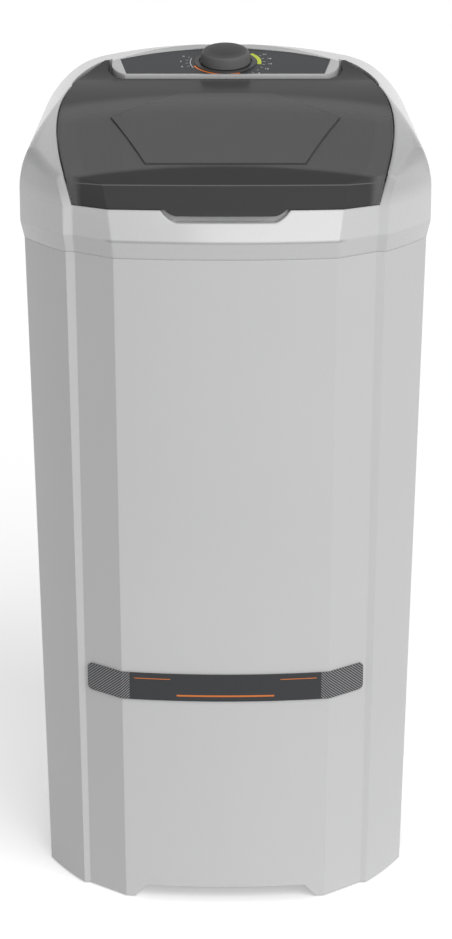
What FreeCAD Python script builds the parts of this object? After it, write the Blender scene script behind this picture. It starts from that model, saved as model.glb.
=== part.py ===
import FreeCAD, Part
import math
import os
from FreeCAD import Placement, Rotation, Vector

# Free-standing top-loading washing machine, in millimetres.
# +Z is up, the front faces -Y and the origin is on the floor under the middle of the machine.

doc = FreeCAD.newDocument("washing_machine")
sheet = doc.addObject("Spreadsheet::Sheet", "Sizes")

driving_sizes = {
    # plan of the cabinet at its top edge, from the middle of the machine
    "front_reach": 275.0,
    "front_bow": 11.7,
    "crease_x": 136.0,
    "corner_depth": 51.5,
    "step_x": 184.6,
    "step_width": 11.4,
    "side_x": 252.6,
    "facet_depth": 91.5,
    "facet_bow": 0.05,
    "back_reach": 262.0,
    "back_corner": 80.0,
    # cabinet
    "cabinet_top": 853.0,
    "wall": 3.0,
    "draft": 18.0,
    "rim_lift": 2.0,
    "foot_arch_height": 16.0,
    "foot_arch_half": 117.6,
    "foot_arch_run": 14.6,
    "side_arch_front": 100.0,
    "side_arch_back": 110.0,
    "shelf_lift": 4.0,
    "shelf_thickness": 4.0,
    "shelf_width": 46.0,
    "pad_radius": 14.0,
    "pad_x": 196.0,
    "pad_front_y": 150.0,
    "pad_back_y": 176.0,
    "back_skim": 0.5,
    "back_flat_half": 152.0,
    "deck_drop": 13.0,
    "deck_thickness": 4.0,
    # trim band
    "band_bottom": 280.0,
    "band_height": 36.0,
    "band_half": 177.0,
    "band_thickness": 2.5,
    "band_corner": 6.0,
    # hood frame
    "skirt_height": 22.0,
    "skirt_flare": 5.0,
    "front_rise": 37.0,
    "front_lean": 14.0,
    "rim_bow": 8.0,
    "rim_crease_x": 142.6,
    "lip_height": 29.0,
    "lip_lean": 14.0,
    "lip_bow": 4.0,
    "lip_crease_x": 149.0,
    "lip_step_out": 7.0,
    "hood_rise": 76.0,
    "hood_bulge": 14.5,
    "hood_arc_end": 110.0,
    "ridge_y": 226.0,
    "ridge_rise": 32.0,
    "ridge_dip": 5.6,
    "ridge_drop": 40.0,
    "arch_start": 39.0,
    "arch_radius": 120.0,
    "arch_crown": 175.0,
    "arm_round": 9.0,
    "mouth_front": 228.0,
    "mouth_skirt": 8.0,
    # lid
    "arm_width": 46.6,
    "lid_foot_out": 1.0,
    "lid_corner_out": 10.9,
    "lid_waist_y": 75.0,
    "lid_waist_in": 11.0,
    "lid_side_bulge": 0.0905,
    "lid_horn_x": 163.0,
    "lid_horn_y": 188.0,
    "lid_horn_bulge": 0.118,
    "opening_horn_bulge": 0.19,
    "horn_swing": 6.0,
    "lid_gap": 2.0,
    "lid_sink": 0.5,
    "lid_wall": 3.0,
    "lid_rim": 13.0,
    "lid_seat_gap": 1.0,
    "lid_ledge": 14.0,
    "lid_lip_depth": 58.0,
    "lid_back_gap": 7.5,
    "tab_half": 75.0,
    "tab_foot_half": 60.0,
    "tab_drop": 7.5,
    "recess_half": 80.0,
    "recess_foot_half": 60.0,
    "recess_drop": 15.5,
    "recess_depth": 17.0,
    "recess_side": 2.0,
    "recess_bulge": 0.2,
    "plateau_front": 205.0,
    "plateau_wide_y": 72.0,
    "plateau_back": 27.0,
    "plateau_front_half": 98.0,
    "plateau_half": 145.0,
    "plateau_back_half": 62.0,
    "plateau_height": 2.0,
    # lid hinge
    "hinge_back_gap": 13.5,
    "hinge_drop": 10.0,
    "hinge_x": 104.0,
    "lug_thickness": 6.0,
    "lug_radius": 5.0,
    "lug_gap": 0.6,
    "pin_radius": 2.5,
    "running_gap": 0.05,
    "hinge_shelf_depth": 28.0,
    # console
    "console_front": 125.5,
    "console_step": 4.0,
    "console_slope": 13.8,
    "console_half": 134.0,
    "console_corner_y": 40.0,
    "console_corner_bulge": 0.25,
    "console_wide": 153.0,
    "console_wall": 4.0,
    "horn_gap": 4.0,
    "panel_margin": 3.5,
    "panel_front_half": 132.0,
    "panel_back_half": 142.0,
    "panel_side": 53.0,
    "panel_crown": 93.0,
    "panel_thickness": 2.5,
    "panel_gap": 0.3,
    "panel_sink": 0.6,
    # timer and its knob
    "knob_y": 171.0,
    "knob_radius": 34.0,
    "knob_top_radius": 29.0,
    "knob_height": 17.5,
    "knob_wall": 3.0,
    "knob_side_bulge": 0.06,
    "knob_edge_bulge": 0.35,
    "knob_dome": 1.5,
    "knob_lift": 1.0,
    "ring_radius": 42.0,
    "ring_width": 6.0,
    "ring_height": 1.6,
    "stem_radius": 4.0,
    "stem_length": 10.5,
    "timer_radius": 30.0,
    "timer_depth": 38.0,
    "timer_screw_x": 38.0,
    "timer_boss": 8.0,
    "timer_flange": 2.5,
    # tub
    "tub_radius": 220.0,
    "tub_floor_radius": 204.0,
    "tub_floor": 330.0,
    "tub_wall": 3.0,
    "tub_corner": 40.0,
    "tub_gap": 1.0,
    "frame_screw_x": 205.0,
    "frame_screw_y": 165.0,
    "frame_boss_radius": 7.0,
    "frame_screw_grip": 18.0,
    "post_length": 28.0,
    "post_radius": 9.0,
    "post_x": 94.0,
    "post_front_y": 78.0,
    "post_back_y": 96.0,
    # agitator and its drive
    "agitator_radius": 150.0,
    "agitator_rim": 8.0,
    "agitator_gap": 5.0,
    "agitator_height": 150.0,
    "agitator_neck": 30.0,
    "agitator_top_radius": 24.0,
    "cone_foot": 75.0,
    "cone_foot_height": 16.0,
    "cone_waist": 40.0,
    "cone_waist_height": 32.0,
    "cone_height": 64.0,
    "cone_bulge": 0.12,
    "vane_tip": 12.0,
    "vane_middle": 36.0,
    "vane_height": 88.0,
    "cap_radius": 21.0,
    "cap_height": 15.0,
    "cap_side": 5.0,
    "vane_count": 6,
    "vane_thickness": 7.0,
    "shaft_radius": 7.0,
    "shaft_end_radius": 5.5,
    "neck_radius": 26.0,
    "neck_rise": 12.0,
    "housing_flange": 48.0,
    "housing_flange_thickness": 6.0,
    "housing_length": 112.0,
    "bearing_radius": 15.0,
    "bearing_length": 22.0,
    "seal_length": 8.0,
    "belt_height": 165.0,
    "belt_width": 10.0,
    "belt_thickness": 7.0,
    "belt_gap": 0.3,
    "groove_spare": 1.0,
    "pulley_radius": 95.0,
    "pulley_width": 18.0,
    "pulley_hub": 20.0,
    "pulley_hole": 18.0,
    "pulley_holes": 6,
    "nut_height": 8.0,
    "thread_spare": 2.0,
    "motor_pulley_radius": 24.0,
    "motor_y": 148.0,
    "motor_radius": 60.0,
    "motor_length": 92.0,
    "motor_boss": 12.0,
    "motor_boss_radius": 18.0,
    "motor_band": 18.4,
    "motor_end_bulge": 0.3,
    "motor_cap": 23.0,
    "motor_screw_depth": 12.5,
    "terminal_reach": 48.0,
    "terminal_half": 12.0,
    "terminal_drop": 55.2,
    "terminal_height": 36.8,
    "motor_shaft_radius": 6.0,
    "motor_screw_ring": 46.0,
    "plate_thickness": 3.0,
    "plate_half": 104.0,
    "plate_front": 94.0,
    "plate_back": 222.0,
    "capacitor_radius": 20.0,
    "capacitor_length": 72.0,
    "capacitor_x": 66.0,
    "capacitor_y": 48.0,
    # screws
    "screw_radius": 2.5,
    "screw_head_radius": 5.0,
    "screw_head": 3.0,
    # drain
    "drain_x": 125.0,
    "drain_y": 64.0,
    "drain_drop": 46.0,
    "pipe_radius": 14.0,
    "pipe_wall": 3.0,
    "elbow_bend": 29.5,
    "hose_wall": 2.5,
    "hose_grip": 14.0,
    "spigot_inside": 21.0,
    "spigot_reach": 18.0,
    "spigot_flange": 22.0,
    "flange_thickness": 3.0,
    "strainer_holes": 6,
    "strainer_ring": 8.0,
    "strainer_hole": 2.2,
    # back of the cabinet
    "service_half": 100.0,
    "service_bottom": 70.0,
    "service_height": 170.0,
    "cover_overlap": 16.0,
    "cover_corner": 14.0,
    "vent_count": 5,
    "vent_half": 60.0,
    "vent_height": 7.0,
    "vent_corner": 2.8,
    "cover_screw_length": 9.0,
    "gland_x": 138.0,
    "gland_bore": 3.6,
    "gland_radius": 8.0,
    "gland_flange": 14.0,
    "gland_reach": 8.0,
    # wiring
    "harness_x": 46.0,
    "harness_radius": 4.0,
    "harness_back": 9.0,
    "harness_bend": 26.0,
    "harness_drop": 41.6,
    "harness_fall": 104.0,
}

for row, (alias, value) in enumerate(driving_sizes.items(), start=1):
    sheet.set(f"A{row}", alias)
    sheet.set(f"B{row}", str(value))
    sheet.setAlias(f"B{row}", alias)
doc.recompute()


def size(alias):
    return float(sheet.get(alias))


# Closed outlines are lists of (x, y, bulge): bulge is the sagitta of the edge that starts there,
# divided by half its chord, so 0 is a straight edge and a positive value bows outwards.

QUARTER = math.tan(math.radians(90) / 4)


def mirrored(right_half):
    left_half = []
    for index in range(len(right_half) - 1, -1, -1):
        x, y, _ = right_half[index]
        bulge = right_half[index - 1][2] if index else 0.0
        left_half.append((-x, y, bulge))
    return right_half + left_half


def offset_outline(outline, insets):
    count = len(outline)
    lines = []
    for index in range(count):
        x0, y0, _ = outline[index]
        x1, y1, _ = outline[(index + 1) % count]
        length = math.hypot(x1 - x0, y1 - y0)
        dx, dy = (x1 - x0) / length, (y1 - y0) / length
        lines.append((x0 - dy * insets[index], y0 + dx * insets[index], dx, dy))
    moved = []
    for index in range(count):
        ax, ay, adx, ady = lines[index - 1]
        bx, by, bdx, bdy = lines[index]
        cross = adx * bdy - ady * bdx
        along = ((bx - ax) * bdy - (by - ay) * bdx) / cross
        moved.append((ax + adx * along, ay + ady * along, outline[index][2]))
    return moved


def outline_edges(outline):
    edges = []
    for index, (x0, y0, bulge) in enumerate(outline):
        x1, y1, _ = outline[(index + 1) % len(outline)]
        start, end = Vector(x0, y0, 0), Vector(x1, y1, 0)
        if abs(bulge) < 1e-9:
            edges.append(Part.LineSegment(start, end))
            continue
        middle = (start + end) / 2 + Vector(y1 - y0, x0 - x1, 0) * (bulge / 2)
        edges.append(Part.Arc(start, middle, end))
    return edges


def dome_bulge(radius, rise):
    ball = (radius ** 2 + rise ** 2) / (2 * rise)
    return math.tan(math.asin(radius / ball) / 4)


def circle(x, y, radius):
    return Part.Circle(Vector(x, y, 0), Vector(0, 0, 1), radius)


def rounded_box(x0, y0, x1, y1, radius):
    return [
        (x0 + radius, y0, 0), (x1 - radius, y0, QUARTER),
        (x1, y0 + radius, 0), (x1, y1 - radius, QUARTER),
        (x1 - radius, y1, 0), (x0 + radius, y1, QUARTER),
        (x0, y1 - radius, 0), (x0, y0 + radius, QUARTER),
    ]


# Document helpers: bodies with sketches on their own origin planes, and extruded profiles for booleans.

def new_body(label, placement=Placement()):
    body = doc.addObject("PartDesign::Body", label)
    body.Label = label
    body.Placement = placement
    return body


def draw(body, plane, edges, lift=None):
    sketch = body.newObject("Sketcher::SketchObject", body.Label + "_sketch")
    support = [feature for feature in body.Origin.OriginFeatures if feature.Role == plane][0]
    sketch.AttachmentSupport = (support, "")
    sketch.MapMode = "FlatFace"
    if lift is not None:
        sketch.setExpression("AttachmentOffset.Base.z", lift)
    for edge in edges:
        sketch.addGeometry(edge)
    return sketch


def pad(body, sketch, length, kind="PartDesign::Pad", both_ways=False, reverse=False):
    feature = body.newObject(kind, body.Label + "_" + kind.split("::")[1].lower())
    feature.Profile = sketch
    feature.setExpression("Length", length)
    feature.Midplane = both_ways
    feature.Reversed = reverse
    body.Tip = feature
    doc.recompute()
    return feature


def pocket(body, sketch, length, both_ways=False, reverse=False):
    before = body.Shape.Volume
    feature = pad(body, sketch, length, "PartDesign::Pocket", both_ways, reverse)
    if body.Shape.Volume > before - 1e-3:
        raise RuntimeError("a pocket of " + body.Label + " cuts nothing")
    return feature


def revolve(body, outline):
    sketch = draw(body, "XZ_Plane", outline_edges(outline))
    feature = body.newObject("PartDesign::Revolution", body.Label + "_turned")
    feature.Profile = sketch
    feature.ReferenceAxis = (sketch, ["V_Axis"])
    feature.Angle = 360
    body.Tip = feature
    doc.recompute()
    return feature


def loft(body, lower, upper, kind="PartDesign::AdditiveLoft"):
    feature = body.newObject(kind, body.Label + "_" + kind.split("::")[1].lower())
    feature.Profile = lower
    feature.Sections = [upper]
    feature.Ruled = True
    body.Tip = feature
    doc.recompute()
    return feature


def polar(body, feature, count):
    pattern = body.newObject("PartDesign::PolarPattern", body.Label + "_pattern")
    pattern.Originals = [feature]
    axis = [item for item in body.Origin.OriginFeatures if item.Role == "Z_Axis"][0]
    pattern.Axis = (axis, [""])
    pattern.Angle = 360
    pattern.setExpression("Occurrences", count)
    body.Tip = pattern
    doc.recompute()
    return pattern


plan_view = Placement()
side_view = Placement(Vector(), Rotation(Vector(0, 1, 0), Vector(0, 0, 1), Vector(1, 0, 0), "XYZ"))
front_view = Placement(Vector(), Rotation(Vector(1, 0, 0), Vector(0, 0, 1), Vector(0, -1, 0), "XYZ"))


def extruded(label, outline, view, start, length):
    sketch = doc.addObject("Sketcher::SketchObject", label + "_outline")
    sketch.Placement = view
    for edge in outline_edges(outline):
        sketch.addGeometry(edge)
    normal = view.Rotation.multVec(Vector(0, 0, 1))
    sketch.Placement = Placement(view.Base + normal * start, view.Rotation)
    block = doc.addObject("Part::Extrusion", label)
    block.Base = sketch
    block.DirMode = "Custom"
    block.Dir = normal
    block.LengthFwd = length
    block.Solid = True
    return block


def section(label, outline, height):
    sketch = doc.addObject("Sketcher::SketchObject", label)
    for edge in outline_edges(outline):
        sketch.addGeometry(edge)
    sketch.Placement = Placement(Vector(0, 0, height), Rotation())
    return sketch


def lofted(label, *sections):
    block = doc.addObject("Part::Loft", label)
    block.Sections = list(sections)
    block.Solid = True
    block.Ruled = True
    return block


def common(label, *blocks):
    joined = doc.addObject("Part::MultiCommon", label)
    joined.Shapes = list(blocks)
    return joined


def fused(label, *blocks):
    joined = doc.addObject("Part::MultiFuse", label)
    joined.Shapes = list(blocks)
    return joined


def cut(label, base, tool):
    result = doc.addObject("Part::Cut", label)
    result.Base = base
    result.Tool = tool
    return result


def cylinder(label, radius, height, placement):
    rod = doc.addObject("Part::Cylinder", label)
    rod.setExpression("Radius", radius)
    rod.setExpression("Height", height)
    rod.Placement = placement
    return rod


def group(label, pieces):
    compound = doc.addObject("Part::Compound", label)
    compound.Links = pieces
    compound.Label = label
    return compound


def upright(x, y, z):
    return Placement(Vector(x, y, z), Rotation())


def hanging(x, y, z):
    return Placement(Vector(x, y, z), Rotation(Vector(1, 0, 0), 180))


def backwards(x, y, z):
    return Placement(Vector(x, y, z), Rotation(Vector(1, 0, 0), -90))


# Plan of the whole machine

def plan(inset, back_inset=None):
    back_inset = inset if back_inset is None else back_inset
    front_y = -(size("front_reach") - size("front_bow"))
    corner_y = -(size("front_reach") - size("corner_depth"))
    facet_y = corner_y + size("facet_depth")
    side_end = size("back_reach") - size("back_corner")
    right_half = [
        (size("crease_x"), front_y, 0),
        (size("step_x"), corner_y, 0),
        (size("step_x") + size("step_width"), corner_y, size("facet_bow")),
        (size("side_x"), facet_y, 0),
        (size("side_x"), side_end, QUARTER),
        (size("side_x") - size("back_corner"), size("back_reach"), 0),
    ]
    outline = mirrored(right_half)
    front_edge = len(outline) - 1
    back_edge = len(right_half) - 1
    outline[front_edge] = outline[front_edge][:2] + (size("front_bow") / size("crease_x"),)
    insets = [inset] * len(outline)
    insets[back_edge] = back_inset
    return offset_outline(outline, insets)


def leaning_plan(inset, crease_x, apex_y, bow, step_out):
    outline = plan(inset)
    for index in (1, 2):
        x, y, bulge = outline[index]
        outline[index] = (x + step_out, y, bulge)
        x, y, bulge = outline[-1 - index]
        outline[-1 - index] = (x - step_out, y, bulge)
    outline[0] = (crease_x, apex_y + bow, 0)
    outline[-1] = (-crease_x, apex_y + bow, bow / crease_x)
    return outline


def draft_at(height):
    return size("draft") * (size("cabinet_top") - height) / (size("cabinet_top") - size("rim_lift"))


deck_top = size("cabinet_top") - size("deck_drop")
deck_bottom = deck_top - size("deck_thickness")
shelf_bottom = size("rim_lift") + size("shelf_lift")
skirt_top = size("cabinet_top") + size("skirt_height")
flange_top = deck_top + size("tub_wall")
frame_screw_spots = [(sx * size("frame_screw_x"), sy * size("frame_screw_y"))
                     for sx in (-1, 1) for sy in (-1, 1)]
harness_y = size("back_reach") - size("wall") - size("harness_back") - size("harness_radius")


def deck_holes(radius):
    holes = [circle(x, y, radius) for x, y in frame_screw_spots]
    holes.append(circle(size("harness_x"), harness_y, size("harness_radius") + size("tub_gap")))
    return holes


# Cabinet

def make_cabinet():
    body = new_body("cabinet")
    rim, wall, skim = size("rim_lift"), size("wall"), size("back_skim")
    lower = draw(body, "XY_Plane", outline_edges(plan(size("draft"), -skim)), "Sizes.rim_lift")
    upper = draw(body, "XY_Plane", outline_edges(plan(0, -skim)), "Sizes.cabinet_top")
    loft(body, lower, upper)
    lower = draw(body, "XY_Plane", outline_edges(plan(size("draft") + wall, wall + skim)), "Sizes.rim_lift")
    upper = draw(body, "XY_Plane", outline_edges(plan(wall, wall + skim)), "Sizes.cabinet_top")
    loft(body, lower, upper, "PartDesign::SubtractiveLoft")

    # the back is skimmed to a true flat, inside and out, for its window and holes
    back, half = size("back_reach"), size("side_x")
    outside = [(-half, back, 0), (half, back, 0), (half, back + wall, 0), (-half, back + wall, 0)]
    pocket(body, draw(body, "XY_Plane", outline_edges(outside)), "4 * Sizes.cabinet_top", both_ways=True)
    half = size("back_flat_half")
    skin, depth = back - wall, back - 2 * wall
    inside = [(-half, depth, 0), (half, depth, 0), (half, skin, 0), (-half, skin, 0)]
    pocket(body, draw(body, "XY_Plane", outline_edges(inside)), "4 * Sizes.cabinet_top", both_ways=True)

    deck = outline_edges(plan(draft_at(deck_bottom) + wall / 2, wall / 2))
    deck.append(circle(0, 0, size("tub_radius") + size("tub_wall") + size("tub_gap")))
    deck += deck_holes(size("screw_radius") + size("running_gap"))
    sketch = draw(body, "XY_Plane", deck, "Sizes.cabinet_top - Sizes.deck_drop - Sizes.deck_thickness")
    pad(body, sketch, "Sizes.deck_thickness")

    shelf = outline_edges(plan(draft_at(shelf_bottom) + wall / 2, wall / 2))
    shelf += outline_edges(plan(size("draft") + size("shelf_width"), size("shelf_width")))
    sketch = draw(body, "XY_Plane", shelf, "Sizes.rim_lift + Sizes.shelf_lift")
    pad(body, sketch, "Sizes.shelf_thickness")

    arch_top = rim + size("foot_arch_height")
    half, run = size("foot_arch_half"), size("foot_arch_run")
    arch = [(-half, -rim, 0), (half, -rim, 0), (half, rim, 0), (half - run, arch_top, 0),
            (run - half, arch_top, 0), (-half, rim, 0)]
    pocket(body, draw(body, "XZ_Plane", outline_edges(arch)), "4 * Sizes.front_reach", both_ways=True)
    front, back = -size("side_arch_front"), size("side_arch_back")
    arch = [(front, -rim, 0), (back, -rim, 0), (back, rim, 0), (back - run, arch_top, 0),
            (front + run, arch_top, 0), (front, rim, 0)]
    pocket(body, draw(body, "YZ_Plane", outline_edges(arch)), "4 * Sizes.side_x", both_ways=True)

    half = size("service_half")
    top = size("service_bottom") + size("service_height")
    window = outline_edges(rounded_box(-half, size("service_bottom"), half, top, size("cover_corner")))
    pocket(body, draw(body, "XZ_Plane", window), "2 * Sizes.back_reach")
    for x, radius in ((-size("drain_x"), size("pipe_radius")), (size("gland_x"), size("gland_radius"))):
        outlet = circle(x, outlet_height(), radius + size("tub_gap"))
        pocket(body, draw(body, "XZ_Plane", [outlet]), "2 * Sizes.back_reach")
    for x, z in cover_screw_spots():
        hole = circle(x, z, size("screw_radius") + size("running_gap"))
        pocket(body, draw(body, "XZ_Plane", [hole]), "2 * Sizes.back_reach")
    return body


def outlet_height():
    return size("tub_floor") - size("drain_drop")


def cover_screw_spots():
    edge = size("cover_overlap") / 2
    x = size("service_half") + edge
    low = size("service_bottom") - edge + size("screw_head_radius")
    high = size("service_bottom") + size("service_height") + edge - size("screw_head_radius")
    return [(sx * x, z) for sx in (-1, 1) for z in (low, (low + high) / 2, high)]


def make_front_band():
    bottom, top = size("band_bottom"), size("band_bottom") + size("band_height")
    half, proud = size("band_half"), size("band_thickness")
    outer = lofted("band_outer", section("band_outer_low", plan(draft_at(bottom) - proud, 0), bottom),
                   section("band_outer_high", plan(draft_at(top) - proud, 0), top))
    inner = lofted("band_inner", section("band_inner_low", plan(size("draft"), 0), size("rim_lift")),
                   section("band_inner_high", plan(0), size("cabinet_top")))
    face = rounded_box(-half, bottom, half, top, size("band_corner"))
    window = extruded("band_window", face, front_view, 0, size("front_reach") + 2 * proud)
    return cut("front_band", common("band_blank", outer, window), inner)


def make_foot_pads():
    pads = []
    for sx in (-1, 1):
        for y in (-size("pad_front_y"), size("pad_back_y")):
            spot = upright(sx * size("pad_x"), y, 0)
            pads.append(cylinder("pad", "Sizes.pad_radius", "Sizes.rim_lift + Sizes.shelf_lift", spot))
    return group("foot_pads", pads)


# Hood: a faceted, leaning wall cut by a long side profile and by an arch seen from the front

rim_height = skirt_top + size("front_rise")
crease_height = rim_height + size("lip_height")
front_y = -(size("front_reach") + size("skirt_flare"))
rim_y = front_y + size("front_lean")
crease_y = rim_y + size("lip_lean")
hood_end = crease_height + size("hood_rise")
far = 2 * size("front_reach")
sky = size("cabinet_top") + far
below = size("cabinet_top") - size("skirt_height")
console_front = size("console_front")
console_side_y = console_front + size("console_corner_y")
lid_back = console_front - size("lid_back_gap")
hinge_y = console_front - size("hinge_back_gap")
lid_half = size("side_x") + size("skirt_flare") - size("arm_width")
corner_y = -(size("front_reach") - size("corner_depth"))


def hood_wall(label, inset):
    outer = inset - size("skirt_flare")
    rim = leaning_plan(outer, size("rim_crease_x") - inset / 2, rim_y + inset, size("rim_bow"), 0)
    lip = leaning_plan(outer, size("lip_crease_x") - inset / 2, crease_y + inset, size("lip_bow"),
                       size("lip_step_out"))
    levels = [
        (below, plan(inset + size("skirt_flare"))),
        (skirt_top, plan(outer)),
        (rim_height, rim),
        (crease_height, lip),
        (sky, lip),
    ]
    return lofted(label, *[section(label + "_level", outline, height) for height, outline in levels])


class TopArc:
    def __init__(self, end_drop):
        start = Vector(crease_y, crease_height, 0)
        end = Vector(size("hood_arc_end"), hood_end - end_drop, 0)
        chord = end - start
        sagitta = size("hood_bulge")
        self.radius = chord.Length ** 2 / (8 * sagitta) + sagitta / 2
        normal = Vector(-chord.y, chord.x, 0).normalize()
        self.centre = (start + end) / 2 - normal * (self.radius - sagitta)

    def height(self, y):
        return self.centre.y + math.sqrt(self.radius ** 2 - (y - self.centre.x) ** 2)

    def bulge(self, y0, y1):
        turn = math.asin((y0 - self.centre.x) / self.radius) - math.asin((y1 - self.centre.x) / self.radius)
        return math.tan(turn / 4)


hood_arc = TopArc(0)
lid_arc = TopArc(size("lid_sink"))


def hood_profile(inset):
    ridge = hood_end + size("ridge_rise") - inset
    back = size("back_reach") + size("skirt_flare") - inset
    arc_end = size("hood_arc_end")
    run = math.hypot(size("ridge_y") - arc_end, size("ridge_rise"))
    return [
        (-far, below - inset, 0),
        (far, below - inset, 0),
        (far, ridge - size("ridge_drop"), 0),
        (back, ridge - size("ridge_drop"), QUARTER / 2),
        (size("ridge_y"), ridge, -2 * size("ridge_dip") / run),
        (arc_end, hood_end - inset, hood_arc.bulge(arc_end, -far / 2)),
        (-far / 2, hood_arc.height(-far / 2) - inset, 0),
        (-far, hood_arc.height(-far / 2) - inset, 0),
    ]


def lid_rise(drop, front):
    arc_end = size("hood_arc_end")
    run = math.hypot(size("ridge_y") - arc_end, size("ridge_rise"))
    ridge = hood_end - size("lid_sink") + size("ridge_rise") - drop
    return [
        (size("ridge_y"), ridge, -2 * size("ridge_dip") / run),
        (arc_end, lid_arc.height(arc_end) - drop, lid_arc.bulge(arc_end, front)),
        (front, lid_arc.height(front) - drop, 0),
    ]


def lid_profile(drop):
    start = -far / 2
    return [(start, below - far, 0), (size("ridge_y"), below - far, 0), *lid_rise(drop, start)]


def seat_profile(drop, riser=0):
    lip_back = front_y + size("lid_lip_depth") + riser
    return [
        (-far, below - far, 0),
        (size("ridge_y"), below - far, 0),
        *lid_rise(size("lid_rim") + drop, lip_back),
        (lip_back, rim_height - drop + size("lid_seat_gap"), 0),
        (-far, rim_height - drop + size("lid_seat_gap"), 0),
    ]


def arch_profile(inset):
    side = size("side_x") + size("skirt_flare") - inset
    start = skirt_top + size("arch_start")
    corner_x = side + inset - size("arch_radius")
    rise = size("arch_crown") - size("arch_start")
    corner = size("arch_radius")
    crown = (corner_x ** 2 + rise ** 2 - corner ** 2) / (2 * (rise - corner))
    lean = math.atan2(corner_x, crown - rise)
    join_x = (crown - inset) * math.sin(lean)
    join_z = start + rise - crown + (crown - inset) * math.cos(lean)
    corner_bulge = math.tan((math.pi / 2 - lean) / 4)
    return [
        (-side, below - far, 0),
        (side, below - far, 0),
        (side, start, corner_bulge),
        (join_x, join_z, math.tan(lean / 2)),
        (-join_x, join_z, corner_bulge),
        (-side, start, 0),
    ]


def side_block(label, profile):
    return extruded(label, profile, side_view, -far, 2 * far)


def arch_block(label, inset):
    return extruded(label, arch_profile(inset), front_view, -far, 2 * far)


def plan_block(label, outline, low=None, high=None):
    low = below - far if low is None else low
    high = sky if high is None else high
    return extruded(label, outline, plan_view, low, high - low)


# Outlines of the lid and of the openings round it, seen from above

def lid_outline(grow, horn_bulge, horn_end):
    front_x = size("step_x") + size("lid_corner_out") + grow
    return [
        (front_x, -far, 0),
        (front_x, corner_y, size("lid_side_bulge")),
        (lid_half - size("lid_waist_in") + grow, size("lid_waist_y"), horn_bulge),
        (size("lid_horn_x") + grow, horn_end, 0),
    ]


# The front ends of the lid lean outwards as they rise, and the opening leans with them

def lean_ends(block, grow):
    foot_x = size("step_x") + size("lid_foot_out") + grow
    corner_x = size("step_x") + size("lid_corner_out") + grow
    lean = (corner_x - foot_x) / (lid_arc.height(corner_y) - rim_height)
    top = lid_arc.height(corner_y) + size("lid_rim")
    end_y = front_y + size("lid_lip_depth") + size("lid_wall") - grow
    for side in (-1, 1):
        outside = [
            (side * (foot_x + lean * (below - rim_height)), below, 0),
            (side * far, below, 0),
            (side * far, top, 0),
            (side * (foot_x + lean * (top - rim_height)), top, 0),
        ]
        block = cut("leaning_end", block, extruded("end_outside", outside, front_view, -end_y, far))
    return block


def console_edge(grow, front_gap):
    return [
        (size("console_wide") + grow, console_side_y, -size("console_corner_bulge")),
        (size("console_half") + grow, console_front - front_gap, 0),
    ]


def lid_plan():
    horn_end = size("lid_horn_y")
    horn = [(size("console_wide") + size("horn_gap"), horn_end, 0)]
    edge = console_edge(size("horn_gap"), size("lid_back_gap"))
    return mirrored(lid_outline(0, size("lid_horn_bulge"), horn_end) + horn + edge)


def opening_plan():
    horn_end = size("lid_horn_y") + size("horn_swing")
    horn = [(size("console_wide"), horn_end, 0)]
    outline = lid_outline(size("lid_gap"), size("opening_horn_bulge"), horn_end)
    return mirrored(outline + horn + console_edge(0, 0))


def mouth_plan():
    ledge = size("lid_ledge")
    front_x = size("step_x") + size("lid_foot_out") - ledge
    back_y = console_front - size("hinge_shelf_depth")
    corner = front_x - size("crease_x")
    return mirrored([
        (size("crease_x"), -size("mouth_front"), 0),
        (front_x, -size("mouth_front") + corner, size("lid_side_bulge")),
        (lid_half - size("lid_waist_in") - ledge, size("lid_waist_y"), 0),
        (lid_half - size("lid_waist_in") - ledge, back_y, 0),
    ])


def well_block(label, side, grow):
    outline = offset_outline(opening_plan(), [-grow / 2] * len(opening_plan()))
    inner = size("console_half") + size("horn_gap") - grow
    start_y = size("lid_waist_y") + size("lid_ledge") - grow
    low, high = (inner, far) if side > 0 else (-far, -inner)
    zone = rounded_box(low, start_y, high, far, size("wall"))
    return common(label, plan_block(label + "_opening", outline), plan_block(label + "_zone", zone))


def console_plan(inset):
    half, wide = size("console_half") - inset, size("console_wide") - inset
    back = size("ridge_y")
    return [
        (-half, console_front + inset, 0),
        (half, console_front + inset, size("console_corner_bulge")),
        (wide, console_side_y, 0),
        (wide, back, 0),
        (-wide, back, 0),
        (-wide, console_side_y, size("console_corner_bulge")),
    ]


slope = math.radians(size("console_slope"))
console_start = hood_arc.height(console_front) + size("console_step")


def console_height(y):
    return console_start + (y - console_front) * math.tan(slope)


def console_profile(drop):
    return [
        (0, below - far, 0),
        (far, below - far, 0),
        (far, console_height(far) - drop, 0),
        (0, console_height(0) - drop, 0),
    ]


panel_frame = Placement(Vector(0, size("knob_y"), console_height(size("knob_y"))),
                        Rotation(Vector(1, 0, 0), size("console_slope")))


def panel_outline(grow):
    front = (console_front + size("panel_margin") - size("knob_y")) / math.cos(slope) - grow
    side_end = front + size("panel_side") + grow
    crown = front + size("panel_crown") + 2 * grow
    half = size("panel_back_half") + grow
    return [
        (-size("panel_front_half") - grow, front, 0),
        (size("panel_front_half") + grow, front, 0),
        (half, side_end, (crown - side_end) / half),
        (-half, side_end, 0),
    ]


def recess_outline(half, foot_half, drop, grow):
    top = rim_height + size("lid_seat_gap")
    side = top + size("recess_side")
    return [
        (-foot_half - grow, top - drop - grow, 0),
        (foot_half + grow, top - drop - grow, size("recess_bulge")),
        (half + grow, side, 0),
        (half + grow, side + size("lip_height"), 0),
        (-half - grow, side + size("lip_height"), 0),
        (-half - grow, side, size("recess_bulge")),
    ]


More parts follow.
